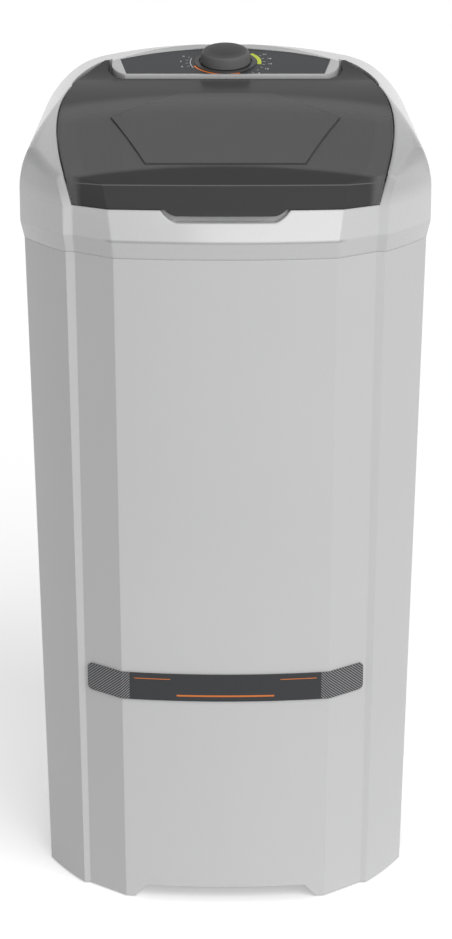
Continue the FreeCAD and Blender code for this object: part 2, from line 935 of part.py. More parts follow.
def soften_arms(hood):
    doc.recompute()
    rounded = doc.addObject("Part::Fillet", "hood_soft")
    rounded.Base = hood
    radius = size("arm_round")
    picked = []
    for number, edge in enumerate(hood.Shape.Edges, start=1):
        middle = edge.valueAt((edge.FirstParameter + edge.LastParameter) / 2)
        on_arm = abs(middle.x) > size("lid_horn_x") and middle.z > crease_height
        if on_arm and corner_y < middle.y < size("lid_horn_y"):
            picked.append((number, radius, radius))
    rounded.Edges = picked
    return rounded


def make_top_frame():
    wall = size("wall")
    outer = common("hood_solid", hood_wall("hood_outside", 0), side_block("hood_side", hood_profile(0)))
    console = common("console_solid", plan_block("console_plan", console_plan(0), below),
                     side_block("console_slope", console_profile(0)))
    arched = common("hood_arched", fused("hood_console", outer, console), arch_block("hood_arch", 0))
    whole = rounded_box(-far, -far, far, far, wall)
    skirt_floor = plan_block("skirt_floor", whole, below - far, size("cabinet_top"))
    blank = cut("hood_blank", soften_arms(arched), skirt_floor)

    lid_space = lean_ends(plan_block("lid_space", opening_plan()), size("lid_gap"))
    seat = cut("lid_seat_space", lid_space,
               side_block("lid_seat", seat_profile(size("lid_seat_gap"))))
    mouth = plan_block("mouth", mouth_plan())
    wells = [well_block("horn_well", side, 0) for side in (-1, 1)]

    shell = common("hood_inside", hood_wall("hood_inner_wall", wall),
                   side_block("hood_inner_side", hood_profile(wall)), arch_block("hood_inner_arch", wall))
    seat_below = side_block("seat_below", seat_profile(size("lid_seat_gap") + wall, wall))
    under_seat = common("under_seat", shell, seat_below)
    grown_opening = offset_outline(opening_plan(), [-wall] * len(opening_plan()))
    arms = cut("arm_hollow", shell, plan_block("opening_and_wall", grown_opening))
    inner_console = plan_block("console_inner_plan", console_plan(size("console_wall")), below)
    under_console = common("under_console", inner_console,
                           side_block("console_inner_slope", console_profile(wall + panel_floor())),
                           arch_block("console_inner_arch", wall), hood_wall("console_inner_wall", wall))
    hollow = fused("hollow_all", under_seat, arms, under_console)
    keep = [plan_block("mouth_and_wall", offset_outline(mouth_plan(), [-wall] * len(mouth_plan())))]
    keep += [well_block("well_and_wall", side, wall) for side in (-1, 1)]
    half = size("console_half") + size("horn_gap") + wall
    shelf_top = hinge_height() - 2 * size("lug_radius")
    back_y = console_front - size("hinge_shelf_depth")
    hinge_box = rounded_box(-half, back_y - wall, half, console_front + wall / 2, wall)
    keep.append(plan_block("hinge_shelf_solid", hinge_box, shelf_top - wall))
    for x, y in frame_screw_spots:
        spot = upright(x, y, below)
        keep.append(cylinder("frame_boss", "Sizes.frame_boss_radius", "Sizes.cabinet_top", spot))
    recess = recess_outline(size("recess_half"), size("recess_foot_half"), size("recess_drop"), wall)
    keep.append(extruded("recess_solid", recess, front_view, 0, far))
    hollow = cut("hollow", hollow, fused("hollow_keep", *keep))

    hinge_box = rounded_box(-half, back_y - size("mouth_front"), half, console_front, wall)
    hinge_space = plan_block("hinge_space", hinge_box, shelf_top)
    front_scoop = -front_y - size("recess_depth") - size("front_lean") / 2
    recess = recess_outline(size("recess_half"), size("recess_foot_half"), size("recess_drop"), 0)
    scoop = extruded("finger_scoop", recess, front_view, front_scoop, far)
    frame = blank
    for index, tool in enumerate([seat, mouth, *wells, hollow, hinge_space, scoop]):
        frame = cut("frame_cut_" + str(index), frame, tool)

    added = [cut("mouth_drip_edge",
                 plan_block("drip_outer", offset_outline(mouth_plan(), [-wall] * len(mouth_plan())),
                            size("cabinet_top") - size("mouth_skirt"), size("cabinet_top") + wall),
                 plan_block("drip_inner", mouth_plan()))]
    for x, y in frame_screw_spots:
        spot = upright(x, y, flange_top)
        added.append(cylinder("frame_foot", "Sizes.frame_boss_radius", "Sizes.deck_drop", spot))
    for side in (-1, 1):
        ear = hinge_tab(shelf_top - wall, 0)
        start = side * size("hinge_x") - (size("lug_thickness") if side > 0 else 0)
        added.append(extruded("hinge_ear", ear, side_view, start, size("lug_thickness")))
        boss_start = -(panel_floor() + wall + size("timer_boss"))
        spot = panel_frame.multiply(upright(side * size("timer_screw_x"), 0, boss_start))
        height = "Sizes.timer_boss + Sizes.wall / 2"
        added.append(cylinder("timer_post", "2 * Sizes.screw_radius", height, spot))
    frame = fused("frame_with_bosses", frame, *added)

    holes = [extruded("panel_recess", panel_outline(size("panel_gap")), panel_frame, -panel_floor(), far)]
    spot = panel_frame.multiply(upright(0, 0, -size("timer_depth")))
    holes.append(cylinder("stem_hole", "2 * Sizes.stem_radius", "2 * Sizes.timer_depth", spot))
    screw_fit = "Sizes.screw_radius + Sizes.running_gap"
    for side in (-1, 1):
        spot = panel_frame.multiply(upright(side * size("timer_screw_x"), 0, boss_start))
        holes.append(cylinder("timer_screw_hole", screw_fit, "Sizes.timer_boss", spot))
    for x, y in frame_screw_spots:
        spot = upright(x, y, flange_top)
        holes.append(cylinder("frame_screw_hole", screw_fit, "Sizes.frame_screw_grip", spot))
    holes.append(common("ear_bore", pin_line("ear_pin_line"), hinge_space_only()))
    for index, tool in enumerate(holes):
        frame = cut("frame_hole_" + str(index), frame, tool)
    frame.Label = "top_frame"
    return frame


def pin_line(label):
    spot = Placement(Vector(-far, hinge_y, hinge_height()), Rotation(Vector(0, 1, 0), 90))
    return cylinder(label, "Sizes.pin_radius + Sizes.running_gap", "4 * Sizes.front_reach", spot)


def hinge_space_only():
    half = size("hinge_x") + size("lug_thickness")
    back_y = console_front - size("hinge_shelf_depth")
    return plan_block("ear_space", rounded_box(-half, back_y, half, console_front, size("wall")))


def hinge_height():
    return lid_arc.height(hinge_y) - size("hinge_drop")


def hinge_tab(foot, top_drop):
    reach = size("lug_radius")
    axis = hinge_height()
    if foot < axis:
        return [(hinge_y - reach, foot, 0), (hinge_y + reach, foot, 0), (hinge_y + reach, axis, 1),
                (hinge_y - reach, axis, 0)]
    return [(hinge_y - reach, axis, 1), (hinge_y + reach, axis, 0), (hinge_y + reach, foot - top_drop, 0),
            (hinge_y - reach, foot - top_drop, 0)]


def panel_floor():
    return size("panel_sink") + size("panel_thickness")


def make_lid():
    wall = size("lid_wall")
    outside = common("lid_solid", lean_ends(plan_block("lid_plan", lid_plan()), 0), hood_wall("lid_front", 0),
                     side_block("lid_top", lid_profile(0)))
    outside = cut("lid_blank", outside, side_block("lid_rim", seat_profile(0)))
    plateau_points = [
        (size("plateau_front_half"), -size("plateau_front"), 0),
        (size("plateau_half"), -size("plateau_wide_y"), 0),
        (size("plateau_back_half"), size("plateau_back"), 0),
    ]
    plateau = cut("plateau", common("plateau_blank", plan_block("plateau_plan", mirrored(plateau_points)),
                                    side_block("plateau_top", lid_profile(-size("plateau_height")))),
                  side_block("plateau_foot", lid_profile(wall / 2)))
    inner_plan = offset_outline(lid_plan(), [wall] * len(lid_plan()))
    inner_block = lean_ends(plan_block("lid_inner_plan", inner_plan), -wall)
    inside = common("lid_inside", inner_block, hood_wall("lid_inner_front", wall),
                    side_block("lid_inner_top", lid_profile(wall)))
    lid = cut("lid_shell", outside, inside)

    tab = recess_outline(size("tab_half"), size("tab_foot_half"), size("tab_drop"), 0)
    tab = common("tab_solid", extruded("tab_face", tab, front_view, 0, far), hood_wall("tab_front", 0))
    tab_top = rim_height + size("lid_seat_gap") + wall
    tab = cut("tab", tab, hood_wall("tab_back", wall))
    tab_zone = plan_block("tab_zone", rounded_box(-far, -far, far, far, wall), below, tab_top)
    tab = common("tab_below_lip", tab, tab_zone)

    lugs = []
    notches = []
    for side in (-1, 1):
        start = side * (size("hinge_x") + size("lug_gap")) - (0 if side > 0 else size("lug_thickness"))
        lug = hinge_tab(lid_arc.height(hinge_y), wall / 2)
        lugs.append(extruded("lid_lug", lug, side_view, start, size("lug_thickness")))
        notch_x = side * size("hinge_x")
        reach = size("lug_thickness") + 2 * size("lug_gap")
        notch = rounded_box(notch_x - reach, hinge_y - 2 * size("lug_radius"), notch_x + reach,
                            lid_back + wall, wall / 2)
        notches.append(cut("rim_notch", plan_block("rim_notch_plan", notch),
                           side_block("rim_notch_top", lid_profile_above(wall))))
    for notch in notches:
        lid = cut("lid_notched", lid, notch)
    lid = fused("lid_fused", lid, plateau, tab, *lugs)
    lid = cut("lid_bored", lid, pin_line("lid_pin_line"))
    lid.Label = "lid"
    return lid


def lid_profile_above(drop):
    start, end = -far / 2, far / 2
    return [
        (start, sky, 0),
        (start, lid_arc.height(start) - drop, -lid_arc.bulge(end, start)),
        (end, lid_arc.height(end) - drop, 0),
        (end, sky, 0),
    ]


def screw(placement, length):
    head = cylinder("screw_head", "Sizes.screw_head_radius", "Sizes.screw_head", placement)
    shank_spot = placement.multiply(upright(0, 0, -length))
    shank = doc.addObject("Part::Cylinder", "screw_shank")
    shank.setExpression("Radius", "Sizes.screw_radius")
    shank.Height = length + size("screw_head") / 2
    shank.Placement = shank_spot
    return fused("screw", head, shank)


def ring_outline(inner, outer, low, high):
    return [(inner, low, 0), (outer, low, 0), (outer, high, 0), (inner, high, 0)]


# Lid hinge pins, each through one ear of the frame and one lug of the lid

def make_hinge_pins():
    pins = []
    inner = size("hinge_x") - size("lug_thickness")
    length = 2 * size("lug_thickness") + size("lug_gap")
    for start in (inner, -inner - length):
        spot = Placement(Vector(start, hinge_y, hinge_height()), Rotation(Vector(0, 1, 0), 90))
        pin = doc.addObject("Part::Cylinder", "hinge_pin")
        pin.setExpression("Radius", "Sizes.pin_radius")
        pin.setExpression("Height", "2 * Sizes.lug_thickness + Sizes.lug_gap")
        pin.Placement = spot
        pins.append(pin)
    return group("lid_hinge_pins", pins)


# Console: panel, dial ring, knob and the timer under it, all square to the sloped console

def make_control_panel():
    body = new_body("control_panel", panel_frame)
    edges = outline_edges(panel_outline(0))
    edges.append(circle(0, 0, 2 * size("stem_radius")))
    sketch = draw(body, "XY_Plane", edges, "-(Sizes.panel_sink + Sizes.panel_thickness)")
    pad(body, sketch, "Sizes.panel_thickness")
    return body


def make_dial_ring():
    body = new_body("dial_ring", panel_frame)
    low = -size("panel_sink")
    high = low + size("ring_height")
    outer = size("ring_radius")
    inner = outer - size("ring_width")
    edge = size("ring_height") / 2
    revolve(body, [(inner, low, 0), (outer, low, 0), (outer, high - edge, QUARTER), (outer - edge, high, 0),
                   (inner, high, 0)])
    return body


stem_top = size("knob_lift") + size("stem_length")
timer_top = -(panel_floor() + size("wall") + size("timer_boss"))


def make_timer_knob():
    body = new_body("timer_knob", panel_frame)
    low, top = size("knob_lift"), size("knob_lift") + size("knob_height")
    radius, crown, wall = size("knob_radius"), size("knob_top_radius"), size("knob_wall")
    bore = size("stem_radius") + size("running_gap")
    hub = bore + wall
    shoulder = top - wall
    revolve(body, [
        (bore, low, 0), (hub, low, 0), (hub, stem_top, 0), (crown - wall, shoulder - wall, 0),
        (radius - wall, low, 0), (radius, low, size("knob_side_bulge")),
        (crown + wall, shoulder - wall, size("knob_edge_bulge")),
        (crown - wall, top - size("knob_dome"), dome_bulge(crown - wall, size("knob_dome"))),
        (0, top, 0), (0, stem_top, 0), (bore, stem_top, 0),
    ])
    return body


def make_timer_shaft():
    body = new_body("timer_shaft", panel_frame)
    low = timer_top - size("timer_depth") / 2
    revolve(body, [(0, low, 0), (size("stem_radius"), low, 0),
                   (size("stem_radius"), stem_top - size("lug_gap"), 0), (0, stem_top - size("lug_gap"), 0)])
    return body


def make_timer_body():
    body = new_body("timer_body", panel_frame)
    bore = size("stem_radius") + size("running_gap")
    bottom = timer_top - size("timer_depth")
    flange = timer_top - size("timer_flange")
    radius = size("timer_radius")
    revolve(body, [(0, bottom, 0), (radius, bottom, 0), (radius, timer_top, 0), (0, timer_top, 0)])
    reach = size("timer_screw_x") + 2 * size("screw_head_radius")
    half = 2 * size("screw_head_radius")
    ears = outline_edges(rounded_box(-reach, -half, reach, half, half / 2))
    ears += [circle(side * size("timer_screw_x"), 0, screw_hole) for side in (-1, 1)]
    sketch = draw(body, "XY_Plane", ears)
    sketch.AttachmentOffset = upright(0, 0, flange)
    pad(body, sketch, "Sizes.timer_flange")
    sketch = draw(body, "XY_Plane", [circle(0, 0, bore)])
    sketch.AttachmentOffset = upright(0, 0, timer_top)
    pocket(body, sketch, "Sizes.timer_depth / 2 + Sizes.lug_gap")
    return body


def make_timer_screws():
    screws = []
    for side in (-1, 1):
        head = hanging(side * size("timer_screw_x"), 0, timer_top - size("timer_flange"))
        spot = panel_frame.multiply(head)
        screws.append(screw(spot, size("timer_flange") + size("timer_boss") - size("lug_gap")))
    return group("timer_screws", screws)


# Wash tub, hung by its flange from the deck of the cabinet

tub_inside_floor = size("tub_floor") + size("tub_wall")
post_spots = [(side * size("post_x"), y) for side in (-1, 1)
              for y in (-size("post_front_y"), size("post_back_y"))]
plate_top = size("tub_floor") - size("post_length")
plate_bottom = plate_top - size("plate_thickness")
screw_hole = size("screw_radius") + size("running_gap")
housing_ring = (size("neck_radius") + size("housing_flange")) / 2


def cross_spots(radius):
    reach = radius / math.sqrt(2)
    return [(sx * reach, sy * reach) for sx in (-1, 1) for sy in (-1, 1)]


def make_tub():
    body = new_body("tub")
    wall = size("tub_wall")
    inset = size("wall") + size("tub_gap")
    flange = outline_edges(plan(draft_at(deck_top) + inset, inset))
    flange.append(circle(0, 0, size("tub_radius")))
    flange += deck_holes(screw_hole)
    sketch = draw(body, "XY_Plane", flange, "Sizes.cabinet_top - Sizes.deck_drop")
    pad(body, sketch, "Sizes.tub_wall")
    top, floor_radius = size("tub_radius"), size("tub_floor_radius")
    low, corner = size("tub_floor"), size("tub_corner")
    bore = size("neck_radius") + size("panel_gap")
    revolve(body, [
        (bore, low, 0), (floor_radius + wall - corner, low, QUARTER), (floor_radius + wall, low + corner, 0),
        (top + wall, flange_top, 0), (top, flange_top, 0), (floor_radius, low + corner, -QUARTER),
        (floor_radius - corner + wall, low + wall, 0), (bore, low + wall, 0),
    ])
    posts = []
    for x, y in post_spots:
        posts += [circle(x, y, size("post_radius")), circle(x, y, screw_hole)]
    sketch = draw(body, "XY_Plane", posts, "Sizes.tub_floor - Sizes.post_length")
    pad(body, sketch, "Sizes.post_length")
    holes = [circle(-size("drain_x"), size("drain_y"), size("pipe_radius") + size("panel_gap"))]
    holes += [circle(x, y, screw_hole) for x, y in cross_spots(housing_ring)]
    pocket(body, draw(body, "XY_Plane", holes, "Sizes.tub_floor + Sizes.tub_wall"), "2 * Sizes.tub_wall")
    return body


# Drain from the tub floor to the back of the cabinet

elbow_end = size("drain_y") + size("elbow_bend") + size("hose_grip")
spigot_start = size("back_reach") - size("wall") - size("spigot_inside")


def swept_rod(path_points, radius, bend):
    edges = []
    start = path_points[0]
    for index in range(1, len(path_points) - 1):
        corner = path_points[index]
        before = (path_points[index - 1] - corner).normalize()
        after = (path_points[index + 1] - corner).normalize()
        half_angle = before.getAngle(after) / 2
        reach = bend / math.tan(half_angle)
        centre = corner + (before + after).normalize() * (bend / math.sin(half_angle))
        middle = centre + (corner - centre).normalize() * bend
        edges.append(Part.LineSegment(start, corner + before * reach).toShape())
        edges.append(Part.Arc(corner + before * reach, middle, corner + after * reach).toShape())
        start = corner + after * reach
    edges.append(Part.LineSegment(start, path_points[-1]).toShape())
    path = Part.Wire(edges)
    ring = Part.Wire(Part.Circle(path_points[0], path_points[1] - path_points[0], radius).toShape())
    return path.makePipeShell([ring], True, False)


def make_drain_elbow():
    x, z = -size("drain_x"), outlet_height()
    y = size("drain_y")
    points = [Vector(x, y, tub_inside_floor), Vector(x, y, z), Vector(x, elbow_end, z)]
    outer = swept_rod(points, size("pipe_radius"), size("elbow_bend"))
    bore = swept_rod(points, size("pipe_radius") - size("pipe_wall"), size("elbow_bend"))
    flange = Part.makeCylinder(size("spigot_flange"), size("flange_thickness"),
                               Vector(x, y, size("tub_floor") - size("flange_thickness")))
    elbow = doc.addObject("Part::Feature", "drain_elbow")
    elbow.Shape = outer.fuse(flange).cut(bore).removeSplitter()
    elbow.Label = "drain_elbow"
    return elbow


def make_drain_strainer():
    body = new_body("drain_strainer", upright(-size("drain_x"), size("drain_y"), tub_inside_floor))
    radius = size("spigot_flange")
    edges = [circle(0, 0, radius)]
    count = int(size("strainer_holes"))
    ring, hole = size("strainer_ring"), size("strainer_hole")
    for index in range(count):
        angle = 2 * math.pi * index / count
        edges.append(circle(ring * math.cos(angle), ring * math.sin(angle), hole))
    edges.append(circle(0, 0, hole))
    pad(body, draw(body, "XY_Plane", edges), "Sizes.tub_wall / 2")
    return body


hose_bore = size("pipe_radius") + size("running_gap")
hose_radius = hose_bore + size("hose_wall")


def make_drain_hose():
    start = elbow_end - size("hose_grip")
    length = spigot_start + size("hose_grip") - start
    body = new_body("drain_hose", backwards(-size("drain_x"), start, outlet_height()))
    revolve(body, ring_outline(hose_bore, hose_radius, 0, length))
    return body


def make_hose_clips():
    clips = []
    width = size("hose_grip") / 2
    for y in (elbow_end - 1.5 * width, spigot_start + width / 2):
        spot = backwards(-size("drain_x"), y, outlet_height())
        outer = doc.addObject("Part::Cylinder", "clip_outer")
        outer.Radius = hose_radius + size("hose_wall")
        inner = doc.addObject("Part::Cylinder", "clip_inner")
        inner.Radius = hose_radius + size("running_gap")
        for rod in (outer, inner):
            rod.setExpression("Height", "Sizes.hose_grip / 2")
            rod.Placement = spot
        clips.append(cut("clip", outer, inner))
    return group("hose_clips", clips)


def make_drain_spigot():
    body = new_body("drain_spigot", backwards(-size("drain_x"), size("back_reach"), outlet_height()))
    outer, bore = size("pipe_radius"), size("pipe_radius") - size("pipe_wall")
    inside = spigot_start - size("back_reach")
    reach, flange = size("spigot_reach"), size("flange_thickness")
    revolve(body, [(bore, inside, 0), (outer, inside, 0), (outer, 0, 0), (size("spigot_flange"), 0, 0),
                   (size("spigot_flange"), flange, 0), (outer, flange, 0), (outer, reach, 0),
                   (bore, reach, 0)])
    return body


# Back of the cabinet: service cover and cord inlet

def make_rear_cover():
    body = new_body("rear_cover")
    half = size("service_half") + size("cover_overlap")
    low = size("service_bottom") - size("cover_overlap")
    high = size("service_bottom") + size("service_height") + size("cover_overlap")
    edges = outline_edges(rounded_box(-half, low, half, high, size("cover_corner")))
    edges += [circle(x, z, screw_hole) for x, z in cover_screw_spots()]
    vent, rise, corner = size("vent_half"), size("vent_height") / 2, size("vent_corner")
    pitch = size("service_height") / (size("vent_count") + 1)
    for index in range(1, int(size("vent_count")) + 1):
        z = size("service_bottom") + index * pitch
        edges += outline_edges(rounded_box(-vent, z - rise, vent, z + rise, corner))
    sketch = draw(body, "XZ_Plane", edges, "-(Sizes.back_reach + Sizes.wall)")
    pad(body, sketch, "Sizes.wall")
    return body


def make_rear_cover_screws():
    outside = size("back_reach") + size("wall")
    return group("rear_cover_screws", [screw(backwards(x, outside, z), size("cover_screw_length"))
                                       for x, z in cover_screw_spots()])


def make_cord_gland():
    body = new_body("cord_gland", backwards(size("gland_x"), size("back_reach"), outlet_height()))
    bore, radius, reach = size("gland_bore"), size("gland_radius"), size("gland_reach")
    flange, wall = size("gland_flange"), size("wall")
    revolve(body, [(bore, -reach, 0), (radius, -reach, 0), (radius, 0, 0), (flange, 0, 0), (flange, wall, 0),
                   (radius, wall, 0), (bore + wall, reach, 0), (bore, reach, 0)])
    return body


def make_frame_screws():
    length = size("deck_thickness") + size("tub_wall") + size("frame_screw_grip") - size("tub_gap")
    return group("frame_screws", [screw(hanging(x, y, deck_bottom), length) for x, y in frame_screw_spots])


# Shaft, bearings and agitator on the middle axis

neck_top = tub_inside_floor + size("neck_rise")
housing_bottom = size("tub_floor") - size("housing_length")
bearing_bore = size("shaft_radius") + size("running_gap")
bearing_seat = size("bearing_radius") + size("running_gap")
upper_bearing_top = neck_top - size("seal_length")
agitator_low = tub_inside_floor + size("agitator_gap")
agitator_seat = neck_top + size("agitator_gap") / 2
agitator_top = agitator_low + size("agitator_height")
pulley_low = size("belt_height") - size("pulley_width") / 2
pulley_high = size("belt_height") + size("pulley_width") / 2
hub_bore = size("shaft_end_radius") + size("running_gap")


def make_bearing_housing():
    body = new_body("bearing_housing")
    neck, flange = size("neck_radius"), size("housing_flange")
    low, top = size("tub_floor") - size("housing_flange_thickness"), size("tub_floor")
    tube = bearing_seat + 2 * size("wall")
    middle = bearing_bore + size("wall")
    length = size("bearing_length")
    revolve(body, [
        (bearing_seat, housing_bottom, 0), (tube, housing_bottom, 0), (tube, low, 0), (flange, low, 0),
        (flange, top, 0), (neck, top, 0), (neck, neck_top, 0), (bearing_seat, neck_top, 0),
        (bearing_seat, upper_bearing_top - length, 0), (middle, upper_bearing_top - length, 0),
        (middle, housing_bottom + length, 0), (bearing_seat, housing_bottom + length, 0),
    ])
    sketch = draw(body, "XY_Plane", [circle(x, y, screw_hole) for x, y in cross_spots(housing_ring)],
                  "Sizes.tub_floor")
    pocket(body, sketch, "Sizes.housing_flange_thickness")
    return body


def make_housing_screws():
    low = size("tub_floor") - size("housing_flange_thickness")
    length = size("housing_flange_thickness") + size("tub_wall")
    return group("housing_screws", [screw(hanging(x, y, low), length) for x, y in cross_spots(housing_ring)])


def make_bearing(label, low):
    body = new_body(label)
    revolve(body, ring_outline(bearing_bore, size("bearing_radius"), low, low + size("bearing_length")))
    return body


def make_shaft_seal():
    body = new_body("shaft_seal")
    low, top, outer = upper_bearing_top, neck_top, size("bearing_radius")
    middle = (bearing_bore + outer) / 2
    lip = size("seal_length") / 4
    revolve(body, [(bearing_bore, low, 0), (outer, low, 0), (outer, top, 0), (middle + lip, top, 0),
                   (middle, top - lip, 0), (middle - lip, top, 0), (bearing_bore, top, 0)])
    return body


def make_agitator_shaft():
    body = new_body("agitator_shaft")
    radius, end = size("shaft_radius"), size("shaft_end_radius")
    low = pulley_low - size("nut_height") - size("thread_spare")
    top = agitator_top + size("cap_height") / 2
    revolve(body, [(0, low, 0), (end, low, 0), (end, pulley_high, 0), (radius, pulley_high, 0),
                   (radius, agitator_seat, 0), (end, agitator_seat, 0), (end, top, 0), (0, top, 0)])
    return body


def make_agitator():
    body = new_body("agitator")
    low, top, rim = agitator_low, agitator_top, size("agitator_rim")
    radius, neck = size("agitator_radius"), size("agitator_neck")
    cavity = size("neck_radius") + size("agitator_gap")
    crown, bend = size("agitator_top_radius"), -size("cone_bulge")
    revolve(body, [
        (cavity, low, 0), (radius - rim / 2, low, QUARTER), (radius, low + rim / 2, QUARTER),
        (radius - rim / 2, low + rim, 0), (size("cone_foot"), low + size("cone_foot_height"), bend),
        (size("cone_waist"), low + size("cone_waist_height"), bend), (neck, low + size("cone_height"), 0),
        (crown, top - rim / 2, QUARTER), (crown - rim / 2, top, 0),
        (hub_bore, top, 0), (hub_bore, agitator_seat, 0), (cavity, agitator_seat, 0),
    ])
    reach = radius - rim
    vane = [(cavity, low + rim / 2, 0), (reach, low + rim / 2, 0),
            (reach, low + size("vane_tip"), QUARTER / 2),
            (size("cone_foot"), low + size("vane_middle"), bend),
            (cavity, low + size("vane_height"), 0)]
    feature = pad(body, draw(body, "XZ_Plane", outline_edges(vane)), "Sizes.vane_thickness", both_ways=True)
    polar(body, feature, "Sizes.vane_count")
    return body


def make_agitator_cap():
    body = new_body("agitator_cap")
    radius, low = size("cap_radius"), agitator_top
    bore_top = low + size("cap_height") / 2 + size("lug_gap")
    dome = dome_bulge(radius, size("cap_height") - size("cap_side"))
    revolve(body, [(hub_bore, low, 0), (radius, low, 0), (radius, low + size("cap_side"), dome),
                   (0, low + size("cap_height"), 0), (0, bore_top, 0), (hub_bore, bore_top, 0)])
    return body


# Belt drive under the tub

groove_depth = size("belt_thickness") + size("groove_spare")
groove_half = size("belt_width") / 2 + size("belt_gap")


def pulley_profile(radius, bore, hub, hub_low, hub_high, web_half):
    mid, half = size("belt_height"), size("pulley_width") / 2
    groove, rim = radius - groove_depth, radius - groove_depth - size("wall")
    return [
        (bore, hub_low, 0), (hub, hub_low, 0), (hub, mid - web_half, 0), (rim, mid - web_half, 0),
        (rim, mid - half, 0), (radius, mid - half, 0), (radius, mid - groove_half, 0),
        (groove, mid - groove_half, 0), (groove, mid + groove_half, 0), (radius, mid + groove_half, 0),
        (radius, mid + half, 0), (rim, mid + half, 0),
        (rim, mid + web_half, 0), (hub, mid + web_half, 0), (hub, hub_high, 0), (bore, hub_high, 0),
    ]


def make_drive_pulley():
    body = new_body("drive_pulley")
    revolve(body, pulley_profile(size("pulley_radius"), hub_bore, size("pulley_hub"), pulley_low, pulley_high,
                                 size("wall")))
    rim = size("pulley_radius") - groove_depth - size("wall")
    ring = (size("pulley_hub") + rim) / 2
    sketch = draw(body, "XY_Plane", [circle(ring, 0, size("pulley_hole"))],
                  "Sizes.belt_height + Sizes.pulley_width")
    polar(body, pocket(body, sketch, "2 * Sizes.pulley_width"), "Sizes.pulley_holes")
    return body


def make_pulley_nut():
    body = new_body("pulley_nut")
    across = 2 * size("shaft_end_radius")
    hexagon = [(across * math.cos(math.radians(60 * step)), across * math.sin(math.radians(60 * step)), 0)
               for step in range(6)]
    edges = outline_edges(hexagon) + [circle(0, 0, hub_bore)]
    sketch = draw(body, "XY_Plane", edges)
    sketch.AttachmentOffset = upright(0, 0, pulley_low - size("nut_height"))
    pad(body, sketch, "Sizes.nut_height")
    return body


def belt_loop(extra):
    wheel = size("pulley_radius") - groove_depth + size("belt_gap") + extra
    small = size("motor_pulley_radius") - groove_depth + size("belt_gap") + extra
    tilt = math.asin((wheel - small) / size("motor_y"))
    cos, sin = math.cos(tilt), math.sin(tilt)
    return [
        (small * cos, size("motor_y") + small * sin, math.tan((math.pi - 2 * tilt) / 4)),
        (-small * cos, size("motor_y") + small * sin, 0),
        (-wheel * cos, wheel * sin, math.tan((math.pi + 2 * tilt) / 4)),
        (wheel * cos, wheel * sin, 0),
    ]


def make_drive_belt():
    body = new_body("drive_belt")
    edges = outline_edges(belt_loop(size("belt_thickness"))) + outline_edges(belt_loop(0))
    pad(body, draw(body, "XY_Plane", edges, "Sizes.belt_height - Sizes.belt_width / 2"), "Sizes.belt_width")
    return body


motor_bore = size("motor_shaft_radius") + size("running_gap")
motor_low = plate_bottom - size("motor_length")
motor_boss_low = motor_low - size("motor_boss")
motor_shaft_top = plate_bottom - size("motor_cap")


def motor_screw_spots():
    return cross_spots(size("motor_screw_ring"))


def make_motor_plate():
    body = new_body("motor_plate")
    half = size("plate_half")
    sheet_edge = rounded_box(-half, -size("plate_front"), half, size("plate_back"), size("cover_corner"))
    edges = outline_edges(sheet_edge)
    edges.append(circle(0, 0, bearing_seat + 2 * size("wall") + size("tub_gap")))
    edges += [circle(x, y, screw_hole) for x, y in post_spots]
    edges += [circle(x, y + size("motor_y"), screw_hole) for x, y in motor_screw_spots()]
    sketch = draw(body, "XY_Plane", edges, "Sizes.tub_floor - Sizes.post_length - Sizes.plate_thickness")
    pad(body, sketch, "Sizes.plate_thickness")
    return body


def make_plate_bolts():
    length = size("plate_thickness") + size("post_length") - size("tub_gap")
    return group("plate_bolts", [screw(hanging(x, y, plate_bottom), length) for x, y in post_spots])


terminal_back = size("motor_y") + size("terminal_reach")
terminal_low = plate_bottom - size("terminal_drop")


def make_motor_body():
    body = new_body("motor_body", upright(0, size("motor_y"), 0))
    radius, band = size("motor_radius"), size("motor_band")
    step, boss = size("wall"), size("motor_boss_radius")
    revolve(body, [
        (motor_bore, motor_boss_low, 0), (boss, motor_boss_low, 0), (boss, motor_low, 0),
        (radius - 2 * step, motor_low, size("motor_end_bulge")), (radius, motor_low + band, 0),
        (radius - step, motor_low + band, 0),
        (radius - step, plate_bottom - band, 0), (radius, plate_bottom - band, 0), (radius, plate_bottom, 0),
        (0, plate_bottom, 0), (0, motor_shaft_top, 0), (motor_bore, motor_shaft_top, 0),
    ])
    x, half = size("harness_x"), size("terminal_half")
    box = outline_edges(rounded_box(x - half, 0, x + half, size("terminal_reach"), size("wall") / 2))
    sketch = draw(body, "XY_Plane", box)
    sketch.AttachmentOffset = upright(0, 0, terminal_low)
    pad(body, sketch, "Sizes.terminal_height")
    holes = [circle(x, y, screw_hole) for x, y in motor_screw_spots()]
    sketch = draw(body, "XY_Plane", holes)
    sketch.AttachmentOffset = upright(0, 0, plate_bottom)
    pocket(body, sketch, "Sizes.motor_screw_depth + Sizes.lug_gap")
    return body


def make_motor_screws():
    return group("motor_screws", [screw(upright(x, y + size("motor_y"), plate_top),
                                        size("plate_thickness") + size("motor_screw_depth"))
                                  for x, y in motor_screw_spots()])


def make_motor_shaft():
    body = new_body("motor_shaft", upright(0, size("motor_y"), 0))
    radius = size("motor_shaft_radius")
    top = motor_shaft_top - size("lug_gap")
    revolve(body, [(0, pulley_low, 0), (radius, pulley_low, 0), (radius, top, 0), (0, top, 0)])
    return body


def make_motor_pulley():
    body = new_body("motor_pulley", upright(0, size("motor_y"), 0))
    radius, mid, half = size("motor_pulley_radius"), size("belt_height"), size("pulley_width") / 2
    groove = radius - groove_depth
    revolve(body, [(motor_bore, mid - half, 0), (radius, mid - half, 0), (radius, mid - groove_half, 0),
                   (groove, mid - groove_half, 0), (groove, mid + groove_half, 0),
                   (radius, mid + groove_half, 0), (radius, mid + half, 0), (motor_bore, mid + half, 0)])
    return body


